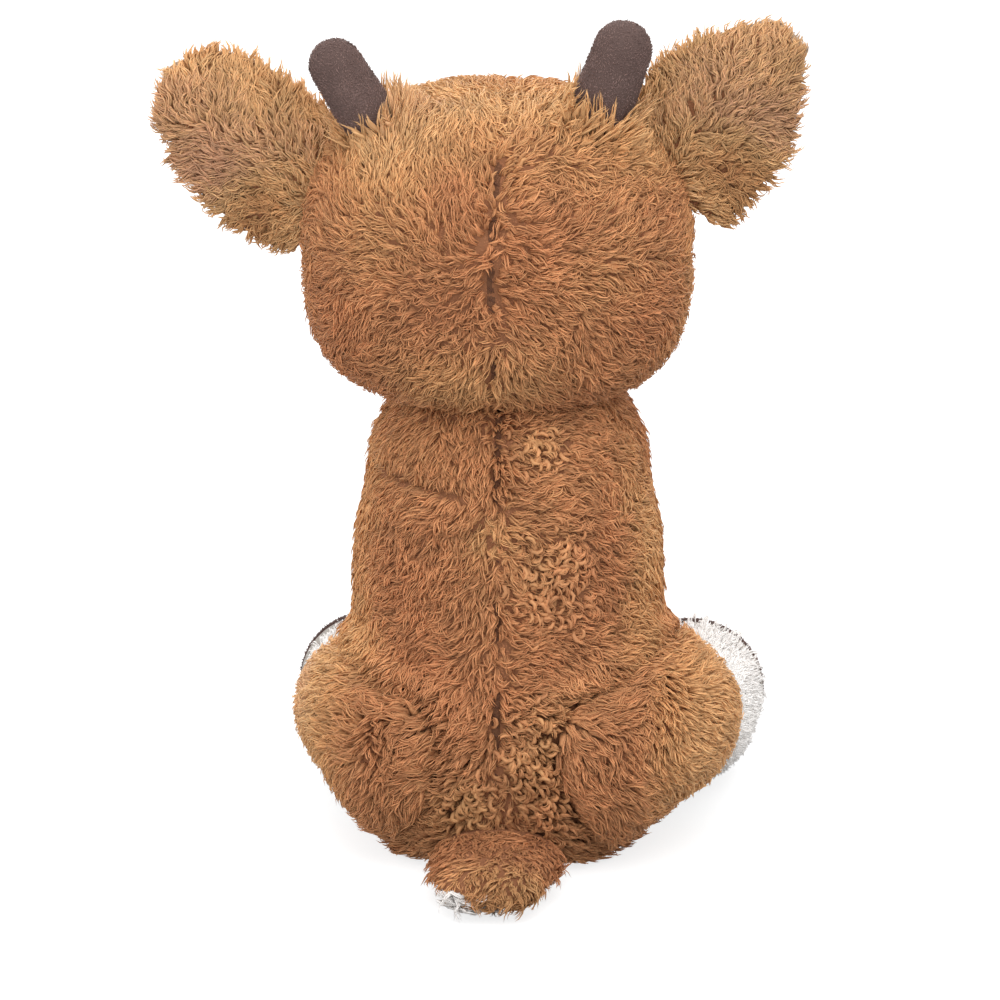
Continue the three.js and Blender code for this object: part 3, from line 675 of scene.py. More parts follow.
# Antlers: two short stuffed buds of dark brown short-pile cloth, with round ends, sewn to the crown.
ANTLER_SEAM = 5
ANTLER_PILE_DEPTH = 1.2
ANTLER_SHARES = (0.92, 1, 0.96)
ANTLERS = {
    "left": {"side": 1, "length": 30, "width": 19, "lift": 47, "lean": 31.5, "setback": 11},
    "right": {"side": -1, "length": 32, "width": 20.5, "lift": 54, "lean": 19, "setback": 10},
}
antlers = {}
antler_holds = {}
for word, antler in ANTLERS.items():
    lean = math.radians(antler["lean"])
    lift = math.radians(antler["lift"])
    upward = np.array([antler["side"] * math.sin(lean), 0, math.cos(lean)])
    base = head_point([antler["side"] * math.cos(lift), antler["setback"] / HEAD_HALF[2], math.sin(lift)])
    length = antler["length"]
    width = antler["width"]
    stations = []
    for along, share in zip((-ANTLER_SEAM, (length - width) / 2, length - width / 2), ANTLER_SHARES):
        stations.append([*(base + upward * along), width * share / 2, width * share / 2])
    outer = limb_form(stations, np.array([upward[2], 0, -upward[0]]))
    form = outer.inset(ANTLER_PILE_DEPTH)
    antlers[word] = (form, upward)
    antler_holds[word] = bends(base - upward * 3, base + upward * 9)
    cover = form.mesh(f"antler_{word}_cover", keep=lambda p: head.height_over(p) > -2, thickness=0.6)
    dress(cover, dark_backing, antler_holds[word], f"antler_{word}_skin")

# Front legs: thin stuffed tubes sewn on at the shoulders, hanging side by side in front of the belly.
# Each is brown above, has a white sock, and ends in a dark short-pile hoof.
LEG_WIDTH = 22
LEG_X = 11.5
LEG_SHOULDER = (19, -43.78, 112)
LEG_FRONT = -59
SOCK_TOP = 42
HOOF_HEIGHT = 12
HOOF_PILE_DEPTH = 0.9
LEG_PILE_DEPTH = 3.6
HOOF_MIDDLE = 9.95
ELBOW_FORWARD = 3.3


def step_up(values, place, width=1.5):
    """Rises smoothly from 0 to 1 about a place."""
    share = np.clip((values - place) / width + 0.5, 0, 1)
    return share * share * (3 - 2 * share)


def zone_covers(form, axis, clearance, zones):
    """A limb's covers, each between two places along an axis, where the limb is that far out of the torso."""
    for name, node, low, high, cloth, hold, foot in zones:
        on_zone = lambda p: (p[:, axis] > low) & (p[:, axis] <= high) & (torso.height_over(p) > clearance)
        dress(form.mesh(name, keep=on_zone, thickness=0.6, foot=foot), cloth, hold, node)


front_legs = {}
shoulder_holds = {}
for word, side in [("left", 1), ("right", -1)]:
    shoulder = np.array([side * LEG_SHOULDER[0], *LEG_SHOULDER[1:]])
    wrist = np.array([side * LEG_X, LEG_FRONT, SOCK_TOP])
    hoof = np.array([side * LEG_X, LEG_FRONT, HOOF_MIDDLE])
    elbow = (shoulder + wrist) / 2 - np.array([0, ELBOW_FORWARD, 0])
    half = LEG_WIDTH / 2
    stations = [[*shoulder, half * 1.05, half * 1.05], [*elbow, half, half]]
    stations += [[*wrist, half * 0.96, half * 0.96], [*hoof, half, half]]
    outer = limb_form(stations, np.array([1.0, 0, 0]), tip_round=0.95, steps=14)
    level = outer.points[..., 2]
    depth = HOOF_PILE_DEPTH + (LEG_PILE_DEPTH - HOOF_PILE_DEPTH) * step_up(level, HOOF_HEIGHT)
    form = Form(outer.points - outer.normals * depth[..., None], outer.normals)
    form.points[..., 2] = np.maximum(form.points[..., 2], 0.3)
    front_legs[word] = form
    hold = bends((0, 0, 124), (0, 0, 98))
    ride = rides(f"front_leg_{word}")
    shoulder_holds[word] = hold
    zone_covers(form, 2, 0.5, [
        (f"front_leg_{word}_cover", f"front_leg_{word}_skin", SOCK_TOP, 200, brown_backing, hold, 0),
        (f"front_sock_{word}_cover", f"front_sock_{word}", HOOF_HEIGHT, SOCK_TOP, white_backing, ride, 0),
        (f"front_hoof_{word}_cover", f"front_hoof_{word}", -9, HOOF_HEIGHT, dark_backing, ride, 0),
    ])

# Hind legs: fat brown haunches sewn to the hips, narrowing to white fur feet that point forward and end
# in broad dark soles.
RUMP = 50
KNEE = 47
FOOT = 46
FUR_LINE = -9
SOLE_LINE = -75
SOLE_DEPTH = 9
HIND_LEGS = {
    "left": {"side": 1, "haunch": 45, "inset": 7.5, "foot_out": 46.5, "fur": 3.5},
    "right": {"side": -1, "haunch": 54, "inset": 5.5, "foot_out": 50.5, "fur": 5.0},
}
hind_legs = {}
hip_holds = {}
for word, leg in HIND_LEGS.items():
    side = leg["side"]
    haunch = np.array([side * (BODY_WIDTH / 2 - leg["inset"]), 8, 40])
    rump = np.array([side * (BODY_WIDTH / 2 - 21), 30, 31.5])
    ankle = np.array([side * leg["foot_out"], SOLE_LINE + FOOT / 2, FOOT / 2 - SEAT_CUT])
    sole = np.array([side * leg["foot_out"], SOLE_LINE, FOOT / 2 - SEAT_CUT])
    knee = (haunch + ankle) / 2 + np.array([0, 0, leg["haunch"] * 0.02])
    stations = [
        [*rump, RUMP / 2 * 0.94, RUMP / 2],
        [*haunch, leg["haunch"] / 2, leg["haunch"] / 2],
        [*knee, KNEE / 2, KNEE / 2],
        [*ankle, FOOT / 2 * 0.96, FOOT / 2 * 0.96],
        [*sole, FOOT / 2, FOOT / 2],
    ]
    outer = limb_form(stations, np.array([1.0, 0, 0]), root_round=0.6, tip=SOLE_DEPTH, steps=14, sides=96)
    above_sole = step_up(outer.points[..., 1], SOLE_LINE + 0.5, 2)
    depth = HOOF_PILE_DEPTH + (PILE_DEPTH - HOOF_PILE_DEPTH) * above_sole
    form = Form(outer.points - outer.normals * depth[..., None], outer.normals)
    form.points[..., 2] = np.maximum(form.points[..., 2], 0.4)
    hind_legs[word] = (outer, form)
    hold = bends((side * 32, 30, 39), (side * 42, -15, 39))
    ride = rides(f"hind_leg_{word}")
    hip_holds[word] = hold
    zone_covers(form, 1, 0.3, [
        (f"hind_leg_{word}_cover", f"hind_leg_{word}_skin", FUR_LINE, 99, brown_backing, hold, PILE_FOOT),
        (f"hind_foot_{word}_cover", f"hind_foot_{word}", SOLE_LINE, FUR_LINE, white_backing, ride, 0),
        (f"hind_sole_{word}_cover", f"hind_sole_{word}", -99, SOLE_LINE, dark_backing, ride, 0),
    ])

# Tail: a flat stuffed tongue, brown on top and white below, sewn to the seat behind and lying on the floor.
TAIL_ROOT = np.array([0, 30.3, 9])
TAIL_TIP = np.array([0, 75.15, 9])
TAIL_WIDTH = 43
TAIL_THICKNESS = 19
TAIL_SEAM = 8
middle = (TAIL_ROOT + TAIL_TIP) / 2
stations = [
    [*TAIL_ROOT, TAIL_WIDTH / 2 * 0.86, TAIL_THICKNESS / 2],
    [*middle, TAIL_WIDTH / 2, TAIL_THICKNESS / 2],
    [*TAIL_TIP, TAIL_WIDTH / 2 * 0.82, TAIL_THICKNESS / 2 * 0.96],
]
tail_outer = limb_form(stations, np.array([1.0, 0, 0]), tip_round=1.3)
tail = tail_outer.inset(PILE_DEPTH)
tail.points[..., 2] = np.maximum(tail.points[..., 2], 0.8)
tail_hold = bends((0, 38, 0), (0, 52, 0))
zone_covers(tail, 2, 0.3, [
    ("tail_cover", "tail_top", TAIL_SEAM, 99, brown_backing, tail_hold, PILE_FOOT),
    ("tail_underside_cover", "tail_underside", -99, TAIL_SEAM, white_backing, tail_hold, 0),
])

# Stuffing: loose white polyester fibre pushed into each part through its closing seam, and a cotton pouch of
# plastic pellets in the seat, so that the toy sits upright.
fibre = cloth_material("stuffing_fibre", colour_of(240, 240, 236), 1.0, weave=2.2, bump=1.0, sheen=0.3)
pouch_cloth = cloth_material("pouch_cotton", colour_of(214, 206, 190), 0.85, weave=0.8)
POUCH_TOP = 29
POUCH_CENTRE = np.array([0, 0, 16.9])
POUCH_HALF = np.array([32.5, 30.5, 12])


def lumpy(form, depth, lump):
    """The form drawn in, with soft lumps of fibre."""
    shift = depth + 0.6 + 0.6 * ripple(form.points, lump, 5)
    return Form(form.points - form.normals * shift[..., None], form.normals)


stuffings = [
    ("body", "torso", torso, lambda p: p[:, 2] > POUCH_TOP, 1.4, 14),
    ("head", "head", head, lambda p: torso_outer.height_over(p) > 1.5, 1.4, 14),
]
for word in ("left", "right"):
    clear = lambda p: torso.height_over(p) > 2
    above_head = lambda p: head.height_over(p) > 0
    stuffings += [
        (f"front_leg_{word}", f"front_leg_{word}", front_legs[word], clear, 1.0, 7),
        (f"hind_leg_{word}", f"hind_leg_{word}", hind_legs[word][1], clear, 1.2, 12),
        (f"antler_{word}", f"antler_{word}", antlers[word][0], above_head, 0.9, 5),
    ]
for name, body, form, keep, depth, lump in stuffings:
    piece = lumpy(form, depth, lump).mesh(f"{name}_stuffing", keep=keep, thickness=0.5)
    dress(piece, (fibre, "stuffing"), rides(body), f"{name}_fill")
pouch = puffed_form(POUCH_CENTRE, POUCH_HALF, 2.4, sides=64)
lumps = 0.7 * ripple(pouch.points, 7, 8)
pouch = Form(pouch.points + pouch.normals * lumps[..., None] - pouch.normals * 0.7)
dress(pouch.mesh("pellet_bag", thickness=0), (pouch_cloth, "pellets"), rides("torso"), "pellet_pouch")

# Brown pile: long, soft, wavy fibres that stand in tufts and lie over each other like tiles, combed away from
# the seams and felted into nubs where the toy has been held. Each strand is rooted in the backing.
TINTS = 16
SHADES = 8
MOST_FACES = 190000


def tufts(roots, normals, lay, length, lean, seed, rings=4, rise=0.6, curl=0.0, wave=0.0):
    """The middle line of each tuft of pile, from its root to its tip."""
    dice = np.random.default_rng(seed)
    count = len(roots)
    share = (np.arange(rings) + 0.5) / rings
    lay = unit(lay - normals * (lay * normals).sum(-1, keepdims=True))
    side = np.cross(normals, lay)
    low, high = (np.reshape(angle, (-1, 1)) for angle in lean)
    tilt = np.radians(low + (high - low) * share**rise)
    tilt = np.broadcast_to(tilt, (count, rings))[..., None]
    phase = (0.6 * ripple(roots, 8, seed) + 0.2 * dice.normal(size=count))[:, None]
    turn = np.reshape(curl, (-1, 1)) * (share - 0.2) + wave * np.sin(2 * math.pi * (share + phase))
    turn = np.broadcast_to(turn, (count, rings))[..., None]
    way = lay[:, None] * np.cos(turn) + side[:, None] * np.sin(turn)
    step = normals[:, None] * np.cos(tilt) + way * np.sin(tilt)
    step = step * (np.reshape(length, (-1, 1, 1)) / rings)
    return np.concatenate([np.zeros((count, 1, 3)), np.cumsum(step, 1)], 1)


def strands(roots, normals, paths, tint, shade, seed, count, spread, gather, thickness, stray, sides=3,
            rings=3, depth=1.0, reach=1.0, start=0.0, lift=0.0, bow=0.0, dim=0.0, vary=0.06):
    """Tapered closed strands, so many to a tuft and drawn together towards its tip, as arrays for a mesh."""
    dice = np.random.default_rng(seed)
    each = np.repeat(np.arange(len(roots)), count)
    total = len(each)
    normal = normals[each]
    at = np.linspace(start, 1, rings + 1) * (paths.shape[1] - 1)
    below = np.minimum(at.astype(int), paths.shape[1] - 2)
    beyond = (at - below)[None, :, None]
    lines = (paths[:, below] * (1 - beyond) + paths[:, below + 1] * beyond)[each] * reach
    side = unit(np.cross(normal, lines[:, -1]))
    other = np.cross(normal, side)
    turn = dice.random(total) * 2 * math.pi
    away = spread * np.sqrt(dice.random(total))
    offset = side * (away * np.cos(turn))[:, None] + other * (away * np.sin(turn))[:, None]
    share = np.linspace(0, 1, rings + 1)[None, :, None]
    scale = dice.uniform(0.75, 1.1, total)[:, None, None]
    points = (roots[each] - normal * min(0.4, thickness) + offset)[:, None] + lines * scale
    points = points - offset[:, None] * gather * share**0.8
    points = points + dice.normal(size=(total, 1, 3)) * stray * share**1.5
    arch = np.sin(math.pi * share)
    points = points + normal[:, None] * arch * lift * dice.uniform(0.3, 1.0, (total, 1, 1))
    points = points + side[:, None] * arch * bow * dice.normal(size=(total, 1, 1))
    low = thickness * depth / 2 + 0.1 + 0.5 * dice.random((total, 1))
    sunk = np.minimum(points[..., 2], 2)
    points[..., 2] = np.where(points[..., 2] < 2, low + (2 - low) * np.exp((sunk - 2) / 2), points[..., 2])
    ahead = unit(np.gradient(points, axis=1))[:, :rings]
    flat = unit(np.cross(ahead, normal[:, None]))
    high = np.cross(flat, ahead) * depth
    taper = {4: [0.8, 1, 0.95, 0.7], 3: [0.8, 1, 0.7], 2: [0.9, 0.8]}[rings]
    radius = thickness / 2 * np.array(taper)[None, :] * dice.uniform(0.78, 1.2, (total, 1))
    corner = dice.random((total, 1, 1)) * 2 * math.pi + np.arange(sides)[None, None, :] * 2 * math.pi / sides
    ring = flat[:, :, None] * np.cos(corner)[..., None] + high[:, :, None] * np.sin(corner)[..., None]
    hoops = points[:, :rings, None] + ring * radius[:, :, None, None]
    vertices = np.concatenate([hoops.reshape(total, -1, 3), points[:, -1:]], 1)
    vertices[..., 2] = np.maximum(vertices[..., 2], 0.05)
    corners = []
    places = []
    sizes = []
    v = np.linspace(0.01, 0.97, rings + 1)
    for k in range(rings):
        for j in range(sides):
            first = sides * k + j
            after = sides * k + (j + 1) % sides
            if k < rings - 1:
                corners += [first, after, after + sides, first + sides]
                places += [(j, v[k]), (j + 1, v[k]), (j + 1, v[k + 1]), (j, v[k + 1])]
                sizes.append(4)
            else:
                corners += [first, after, sides * rings]
                places += [(j, v[k]), (j + 1, v[k]), (j + 0.5, v[k + 1])]
                sizes.append(3)
    corners += range(sides - 1, -1, -1)
    places += [(j, v[0]) for j in range(sides - 1, -1, -1)]
    sizes.append(sides)
    tint = np.clip(tint[each] + dice.normal(size=total) * 0.04, 0, 0.999)
    # dim makes a set of strands darker: painted shade where they lie under the others.
    shade = np.clip(shade[each] - dim + dice.normal(size=total) * vary, 0, 0.999)
    column = np.floor(tint * TINTS) * SHADES + np.floor(shade * SHADES)
    places = np.array(places)
    u = (column[:, None] + 0.12 + 0.76 * places[None, :, 0] / sides) / (TINTS * SHADES)
    uv = np.stack([u, np.broadcast_to(places[None, :, 1], u.shape)], -1)
    loops = np.arange(total)[:, None] * vertices.shape[1] + np.array(corners)[None]
    return vertices.reshape(-1, 3), loops.ravel(), np.tile(sizes, total), uv.reshape(-1, 2)


def pile_mesh(name, parts):
    """One mesh of several sets of strands."""
    shift = np.cumsum([0] + [len(part[0]) for part in parts[:-1]])
    vertices = np.vstack([part[0] for part in parts])
    loops = np.concatenate([part[1] + step for part, step in zip(parts, shift)])
    totals = np.concatenate([part[2] for part in parts])
    cloth = bpy.data.meshes.new(name)
    cloth.vertices.add(len(vertices))
    cloth.vertices.foreach_set("co", (vertices * MM).astype(np.float32).ravel())
    cloth.loops.add(len(loops))
    cloth.loops.foreach_set("vertex_index", loops.astype(np.int32))
    cloth.polygons.add(len(totals))
    cloth.polygons.foreach_set("loop_start", np.append(0, np.cumsum(totals)[:-1]).astype(np.int32))
    cloth.polygons.foreach_set("use_smooth", np.ones(len(totals), bool))
    uv = np.vstack([part[3] for part in parts]).astype(np.float32)
    cloth.uv_layers.new(name="OFBake").data.foreach_set("uv", uv.ravel())
    cloth.update(calc_edges=True)
    return placed(name, cloth)


# Each tuft is one flat blade that covers the ground, with four curved fibres over it.
UNDER = {"count": 1, "spread": 0.0, "gather": 0.0, "thickness": 2.6, "stray": 0.1}
# dim: the blade is coloured darker, as painted shade between the tufts.
UNDER.update(sides=4, depth=0.3, reach=0.76, dim=0.2)
FIBRES = {"count": 4, "spread": 0.95, "gather": 0.35, "thickness": 0.48, "stray": 0.3, "rings": 4}
FIBRES.update(start=0.2, lift=0.6, bow=0.25, vary=0.22)


def plant(name, pile, fibre, seed, hold, part=None, looks=(UNDER, FIBRES), around=(0, 0)):
    """Pile over one part, in as many pieces as keep each small enough, side by side round the part."""
    pile = [values if part is None else values[part] for values in pile]
    order = np.argsort(np.arctan2(pile[0][:, 1] - around[1], pile[0][:, 0] - around[0]))
    faces = sum(look["count"] * 2 * (look.get("sides", 3) * look.get("rings", 3) - 1) for look in looks)
    count = math.ceil(len(order) * faces / MOST_FACES)
    for number, chosen in enumerate(np.array_split(order, count)):
        here = [values[chosen] for values in pile]
        sets = [strands(*here, seed + number + 50 * at, **look) for at, look in enumerate(looks)]
        dress(pile_mesh(f"{name}_{number + 1}" if count > 1 else name, sets), fibre, hold)


def pile_material(name, tips, root_share, sheen, roughness=0.62):
    """Pile fibre: a strand's tint and shade are in its map across, and along it a painted shade that darkens
    it towards its root.
    """
    material = bpy.data.materials.new(name)
    wiring = Wiring(material)
    worked = wiring.worked
    place = wiring.add("UVMap", {})
    place.uv_map = "OFBake"
    split = wiring.add("SeparateXYZ", {0: place.outputs["UV"]})
    across = worked("MULTIPLY", split.outputs["X"], TINTS)
    tint = worked("DIVIDE", worked("FLOOR", across), TINTS - 1)
    shade = worked("FLOOR", worked("MULTIPLY", worked("FRACT", across), SHADES))
    shade = worked("DIVIDE", shade, SHADES - 1)
    colours = wiring.ramp(tint, [(number / (len(tips) - 1), tip) for number, tip in enumerate(tips)])
    # Darker towards each strand's root: painted shade of the pile's depths.
    along = wiring.add("MapRange", {"From Min": 0.05, "From Max": 0.85, "To Min": root_share, "To Max": 1.0})
    along.interpolation_type = "SMOOTHSTEP"
    wiring.feed(along, {"Value": split.outputs["Y"]})
    stretch = wiring.add("VectorMath", {0: place.outputs["UV"], 1: (TINTS * SHADES * 9, 2.5, 1)}, "MULTIPLY")
    streak = wiring.add("TexNoise", {"Scale": 1.0, "Vector": stretch.outputs[0]}).outputs["Fac"]
    light = worked("MULTIPLY", along.outputs[0], worked("ADD", worked("MULTIPLY", shade, 0.46), 0.74))
    light = worked("MULTIPLY", light, worked("ADD", worked("MULTIPLY", streak, 0.16), 0.92))
    relief = wiring.add("Bump", {"Strength": 0.3, "Distance": 0.1 * MM, "Height": streak})
    wiring.paint({
        "Base Color": wiring.add("VectorMath", {0: colours, "Scale": light}, "SCALE").outputs[0],
        "Roughness": roughness,
        "Specular IOR Level": 0.25,
        "Sheen Weight": sheen,
        "Sheen Roughness": 0.5,
        "Sheen Tint": (*tips[-1], 1),
        "Normal": relief.outputs["Normal"],
    })
    return material


BROWN_TIPS = [  # russet, brown, gold, pale gold and a dusty fawn
    colour_of(205, 136, 92),
    colour_of(211, 148, 101),
    colour_of(222, 166, 112),
    colour_of(232, 184, 130),
    colour_of(216, 164, 127),
]
brown_fibre = (pile_material("brown_pile", BROWN_TIPS, 0.78, 0.12), "brown_plush")
WHITE_TIPS = [colour_of(232, 226, 222), colour_of(252, 249, 246)]
white_fibre = (pile_material("white_pile", WHITE_TIPS, 0.9, 0.2), "white_plush")
SPACING = 1.17  # between the tufts of long pile
LONG = 8.4


def spot(points, centre, size):
    """How strongly each point belongs to a round patch, from 0 to 1."""
    return np.exp(-(((points - np.array(centre)) / size) ** 2).sum(-1))


def outside(points, *limits):
    """Which points lie over each form by at least its height."""
    keep = np.ones(len(points), bool)
    for form, height in limits:
        near = np.flatnonzero(keep)
        keep[near] = form.height_over(points[near]) > height
    return keep


GROOVE_REACH = 6.5  # how far off a groove its pile still leans over it
GROOVE_RISE = 1.7
SEAM_LAP = 2.6  # how far to each side of a seam the pile is turned by it


def over_groove(roots, normals, lay, others, over):
    """Pile at the groove where another stuffed part begins, filling it and leaning that much over it."""
    for other in others:
        place, facing = other.nearest(roots)
        gap = np.maximum(((roots - place) * facing).sum(-1), 0)
        share = fading(gap, GROOVE_REACH)[:, None]
        roots = roots + (facing + normals) * share * GROOVE_RISE
        normals = unit(normals + facing * share)
        lay = lay - facing * share * over
    return roots, normals, lay


def lay_behind(points, middle, levels, left, right):
    """The lay of a back's pile, from its directions at several levels to the left and right of its seam."""
    ways = []
    for table in (left, right):
        wide, high = (np.interp(points[:, 2], levels, column) for column in zip(*table))
        ways.append(np.stack([wide, 0 * wide, high], -1))
    share = np.clip((points[:, 0] - middle) / 3 + 0.5, 0, 1)[:, None]
    return unit(unit(ways[0]) * share + unit(ways[1]) * (1 - share))


def across_seam(lay, gap, parting, dice):
    """The lay with the pile beside a closed stretch of seam turned to lie over it."""
    over = fading(gap, SEAM_LAP) * np.clip(1.2 - 2 * parting, 0, 1)
    across = np.stack([-np.sign(gap) * 0.8, 0 * gap, 0.7 * dice.normal(size=len(gap)) - 0.3], -1)
    return lay * (1 - over[:, None]) + across * over[:, None]


def beside_slot(gap, parting):
    """How far the pile stands up beside an open slot of a seam, from 0 to 1."""
    return fading(gap, SEAM_LAP) * np.clip(2.5 * parting - 0.5, 0, 1)


def combed(lay, roots, wander, size, stray, dice):
    """The lay of the pile with a slow wander over the cloth and a little stray in each tuft."""
    slow = np.stack([ripple(roots, size, seed) for seed in (1, 2, 3)], -1)
    return unit(unit(lay) + wander * slow) + stray * dice.normal(size=roots.shape)


def rooted(form, spacing, seed, where, *limits):
    """Roots over a form where they're wanted, their directions outwards, and dice and a count for them."""
    roots, normals = form.scatter(spacing, seed)
    keep = where(roots, normals)
    keep[keep] = outside(roots[keep], *limits)
    return roots[keep], normals[keep], np.random.default_rng(seed + 1), int(keep.sum())


# Body pile: combed down to the left of the back seam and outwards to its right, parted at the seam, with a
# sewn crease on the left. Felted nubs, curled over with their tips tucked in, lie to the right of the seam.
BODY_LEVELS = [10, 50, 70, 110, 150]
BODY_LEFT = [(0.55, -0.85), (0.7, -0.7), (0.7, -0.7), (0.35, -1), (0.05, -1)]
BODY_RIGHT = [(-0.8, -0.55), (-0.95, 0.05), (-0.9, -0.3), (-1, -0.3), (-1, 0)]
NUB_PATCHES = [((-15, 42, 92), (11, 30, 15)), ((-17, 42, 33), (16, 30, 19)), ((-10, 42, 131), (7, 30, 5)),
               ((9, 42, 24), (8, 30, 8))]


def felted(points):
    """How far the pile is felted into nubs, from 0 to 1."""
    share = np.zeros(len(points))
    for centre, size in NUB_PATCHES:
        share = np.maximum(share, spot(points, centre, np.array(size)))
    return np.clip(1.5 * share - 0.15, 0, 1)


def body_pile(roots, dice):
    """The lay of the body's pile, its tint and its shade."""
    x = roots[:, 0] - SEAM_X
    lay = lay_behind(roots, SEAM_X, BODY_LEVELS, BODY_LEFT, BODY_RIGHT)
    front = np.stack([np.sign(x) * 0.3, -0.1 + 0 * x, -1 + 0 * x], -1)
    behind = np.clip((roots[:, 1] + 15) / 30, 0, 1)[:, None]
    lay = combed(lay * behind + front * (1 - behind), roots, 0.4, 20, 0.17, dice)
    lay = across_seam(lay, back_seam(roots), np.interp(roots[:, 2], *BODY_PARTING), dice)
    # edge: lighter and more golden towards the sides of the back, a painted rim highlight.
    edge = np.clip((np.abs(x) - 30) / 14, 0, 1) * behind[:, 0]
    tint = 0.25 + 0.1 * ripple(roots, 40, 5) + 0.4 * edge
    tint += 0.3 * spot(roots, (2, 42, 108), np.array([6, 30, 6]))
    tint -= 0.25 * spot(roots, (20, 42, 74), np.array([13, 30, 18]))
    shade = 0.55 + 0.14 * ripple(roots, 12, 6) + 0.1 * dice.normal(size=len(roots)) + 0.2 * edge
    # Painted shade: darker towards the bottom of the body and along the sewn crease.
    shade -= 0.28 * np.clip((56 - roots[:, 2]) / 26, 0, 1) + 0.45 * fading(crease_gap(roots), 2.2)
    # Painted shade just above the tail's root, and darker over the right haunch.
    shade -= 0.3 * spot(roots, (9, 42, 20), np.array([16, 30, 9])) + 0.2 * spot(roots, (-39, 30, 72), 12)
    tint += 0.15 * felted(roots)
    return lay, tint, shade


NUB_SPACING = 1.3
haunches = [hind_legs["left"][0], hind_legs["right"][0]]
clear_of_body = [(form, -3.8) for form in haunches] + [(tail_outer, -1.5), (head_outer, -5.5)]
for name, spacing, seed in [("body_pile", SPACING, 11), ("body_nubs", NUB_SPACING, 16)]:
    roots, normals = torso.scatter(spacing, seed)
    dice = np.random.default_rng(seed + 1)
    nubs = felted(roots)
    chance = dice.random(len(roots))
    keep = (roots[:, 2] > 2) & ~on_belly(roots, -1)
    parting = np.interp(roots[:, 2], *BODY_PARTING) * dice.uniform(0.7, 1.15, len(roots))
    keep &= np.abs(back_seam(roots)) > parting
    keep &= crease_gap(roots) > 0.25
    keep &= chance < 1.1 * nubs if name == "body_nubs" else chance > 0.5 * nubs
    keep[keep] = outside(roots[keep], *clear_of_body)
    roots = roots[keep]
    normals = normals[keep]
    nubs = nubs[keep]
    count = len(roots)
    lay, tint, shade = body_pile(roots, dice)
    roots, normals, lay = over_groove(roots, normals, lay, haunches, 0.8)
    curl = 0.6 * ripple(roots, 16, 4) + 0.35 * dice.normal(size=count)
    if name == "body_nubs":
        lay = lay + dice.normal(size=(count, 3)) * 0.9
        curl = np.where(dice.random(count) < 0.5, -3.0, 3.0)
        length = 6.0 * dice.uniform(0.7, 1.15, count)
        roots = roots + normals * dice.uniform(1.0, 2.6, (count, 1))
        shade = shade - 0.04
        lines = tufts(roots, normals, lay, length, lean=(30, 112), rise=0.8, curl=curl, seed=seed + 2)
        # The nubs' cores are coloured a little darker: painted shade under their fibres.
        core = {**UNDER, "thickness": 1.25, "depth": 0.95, "sides": 6, "rings": 4, "reach": 0.95, "dim": 0.1}
        skin = {**FIBRES, "spread": 0.5, "gather": 0.0, "lift": 0.45, "stray": 0.12, "thickness": 0.4}
        looks = (core, skin)
    else:
        by_slot = beside_slot(back_seam(roots), np.interp(roots[:, 2], *BODY_PARTING))
        # The pile among the nubs is coloured darker: painted shade in the gaps between them.
        shade = shade - 0.35 * nubs
        above = fading(crease_gap(roots), 6) * (roots[:, 2] > CREASE_Z)
        length = LONG * (1 - 0.5 * nubs) * (1 - 0.3 * above) * dice.uniform(0.85, 1.12, count)
        lean = (18 - 14 * by_slot, 91 - 45 * by_slot)
        lines = tufts(roots, normals, lay, length, lean=lean, curl=curl, wave=0.6, seed=seed + 2)
        looks = (UNDER, FIBRES)
    plant(name, (roots, normals, lines, tint, shade), brown_fibre, seed + 3, rides("torso"), looks=looks)

# Head pile: it lies outwards all round from a point on the seam at the back, over the crown and the cheeks to
# the face, where it's trimmed short round the eyes.
HEAD_LEVELS = [145, 165, 182, 195, 208, 225]
HEAD_LEFT = [(0.7, -0.8), (0.75, -0.65), (0.6, -0.6), (0.5, 0.4), (0.25, 1), (0.1, 1)]
HEAD_RIGHT = [(-0.45, -1), (-0.8, -0.75), (-1, -0.35), (-1, 0.05), (-0.8, 0.6), (-0.4, 1)]
roots, normals = head.scatter(SPACING, 21)
dice = np.random.default_rng(22)
keep = outside(roots, (torso_outer, 0.5), (muzzle_outer, 0.0))
parting = np.interp(roots[:, 2], *HEAD_PARTING) * dice.uniform(0.7, 1.15, len(roots))
keep &= np.abs(head_seam(roots)) > parting
eye_gap = np.full(len(roots), 99.0)
for word in ("left", "right"):
    eye_gap = np.minimum(eye_gap, np.linalg.norm(roots - (eye_places[word] - eye_facings[word]), axis=-1))
    keep &= outside(roots, (antlers[word][0], 0.3))
keep &= eye_gap > EYE_RADIUS + 0.2
roots = roots[keep]
normals = normals[keep]
eye_gap = eye_gap[keep] - EYE_RADIUS
count = len(roots)
near = np.clip(1.6 * normals[:, 1:2] - 0.1, 0, 1)
lay = lay_behind(roots, 1.5, HEAD_LEVELS, HEAD_LEFT, HEAD_RIGHT) * near
sideways = np.stack([0.5 * np.sign(roots[:, 0]), -1 + 0 * eye_gap, (roots[:, 2] - 190) / 60], -1)
lay = lay + unit(sideways) * (1 - near)
for word in ("left", "right"):
    by_eye = fading(eye_gap, 5)[:, None] * (roots[:, :1] * eye_places[word][0] > 0)
    lay = lay * (1 - by_eye) + unit(roots - eye_places[word]) * by_eye
lay += np.array([0.9, 0, 0]) * spot(roots, (14, 40, 211), 6)[:, None]
by_antler = np.zeros(len(roots))
for word, cover in (("left", 1.0), ("right", 1.2)):
    form, upward = antlers[word]
    close = cover * fading(np.maximum(form.height_over(roots), 0), 5.5)
    normals = unit(normals + 2.4 * upward * close[:, None])
    roots = roots + 3.2 * upward * close[:, None]
    lay = lay * np.maximum(1 - close[:, None], 0) + upward * close[:, None]
    by_antler = np.maximum(by_antler, close)
curls = spot(roots, (16, 42, 178), np.array([14, 30, 16]))
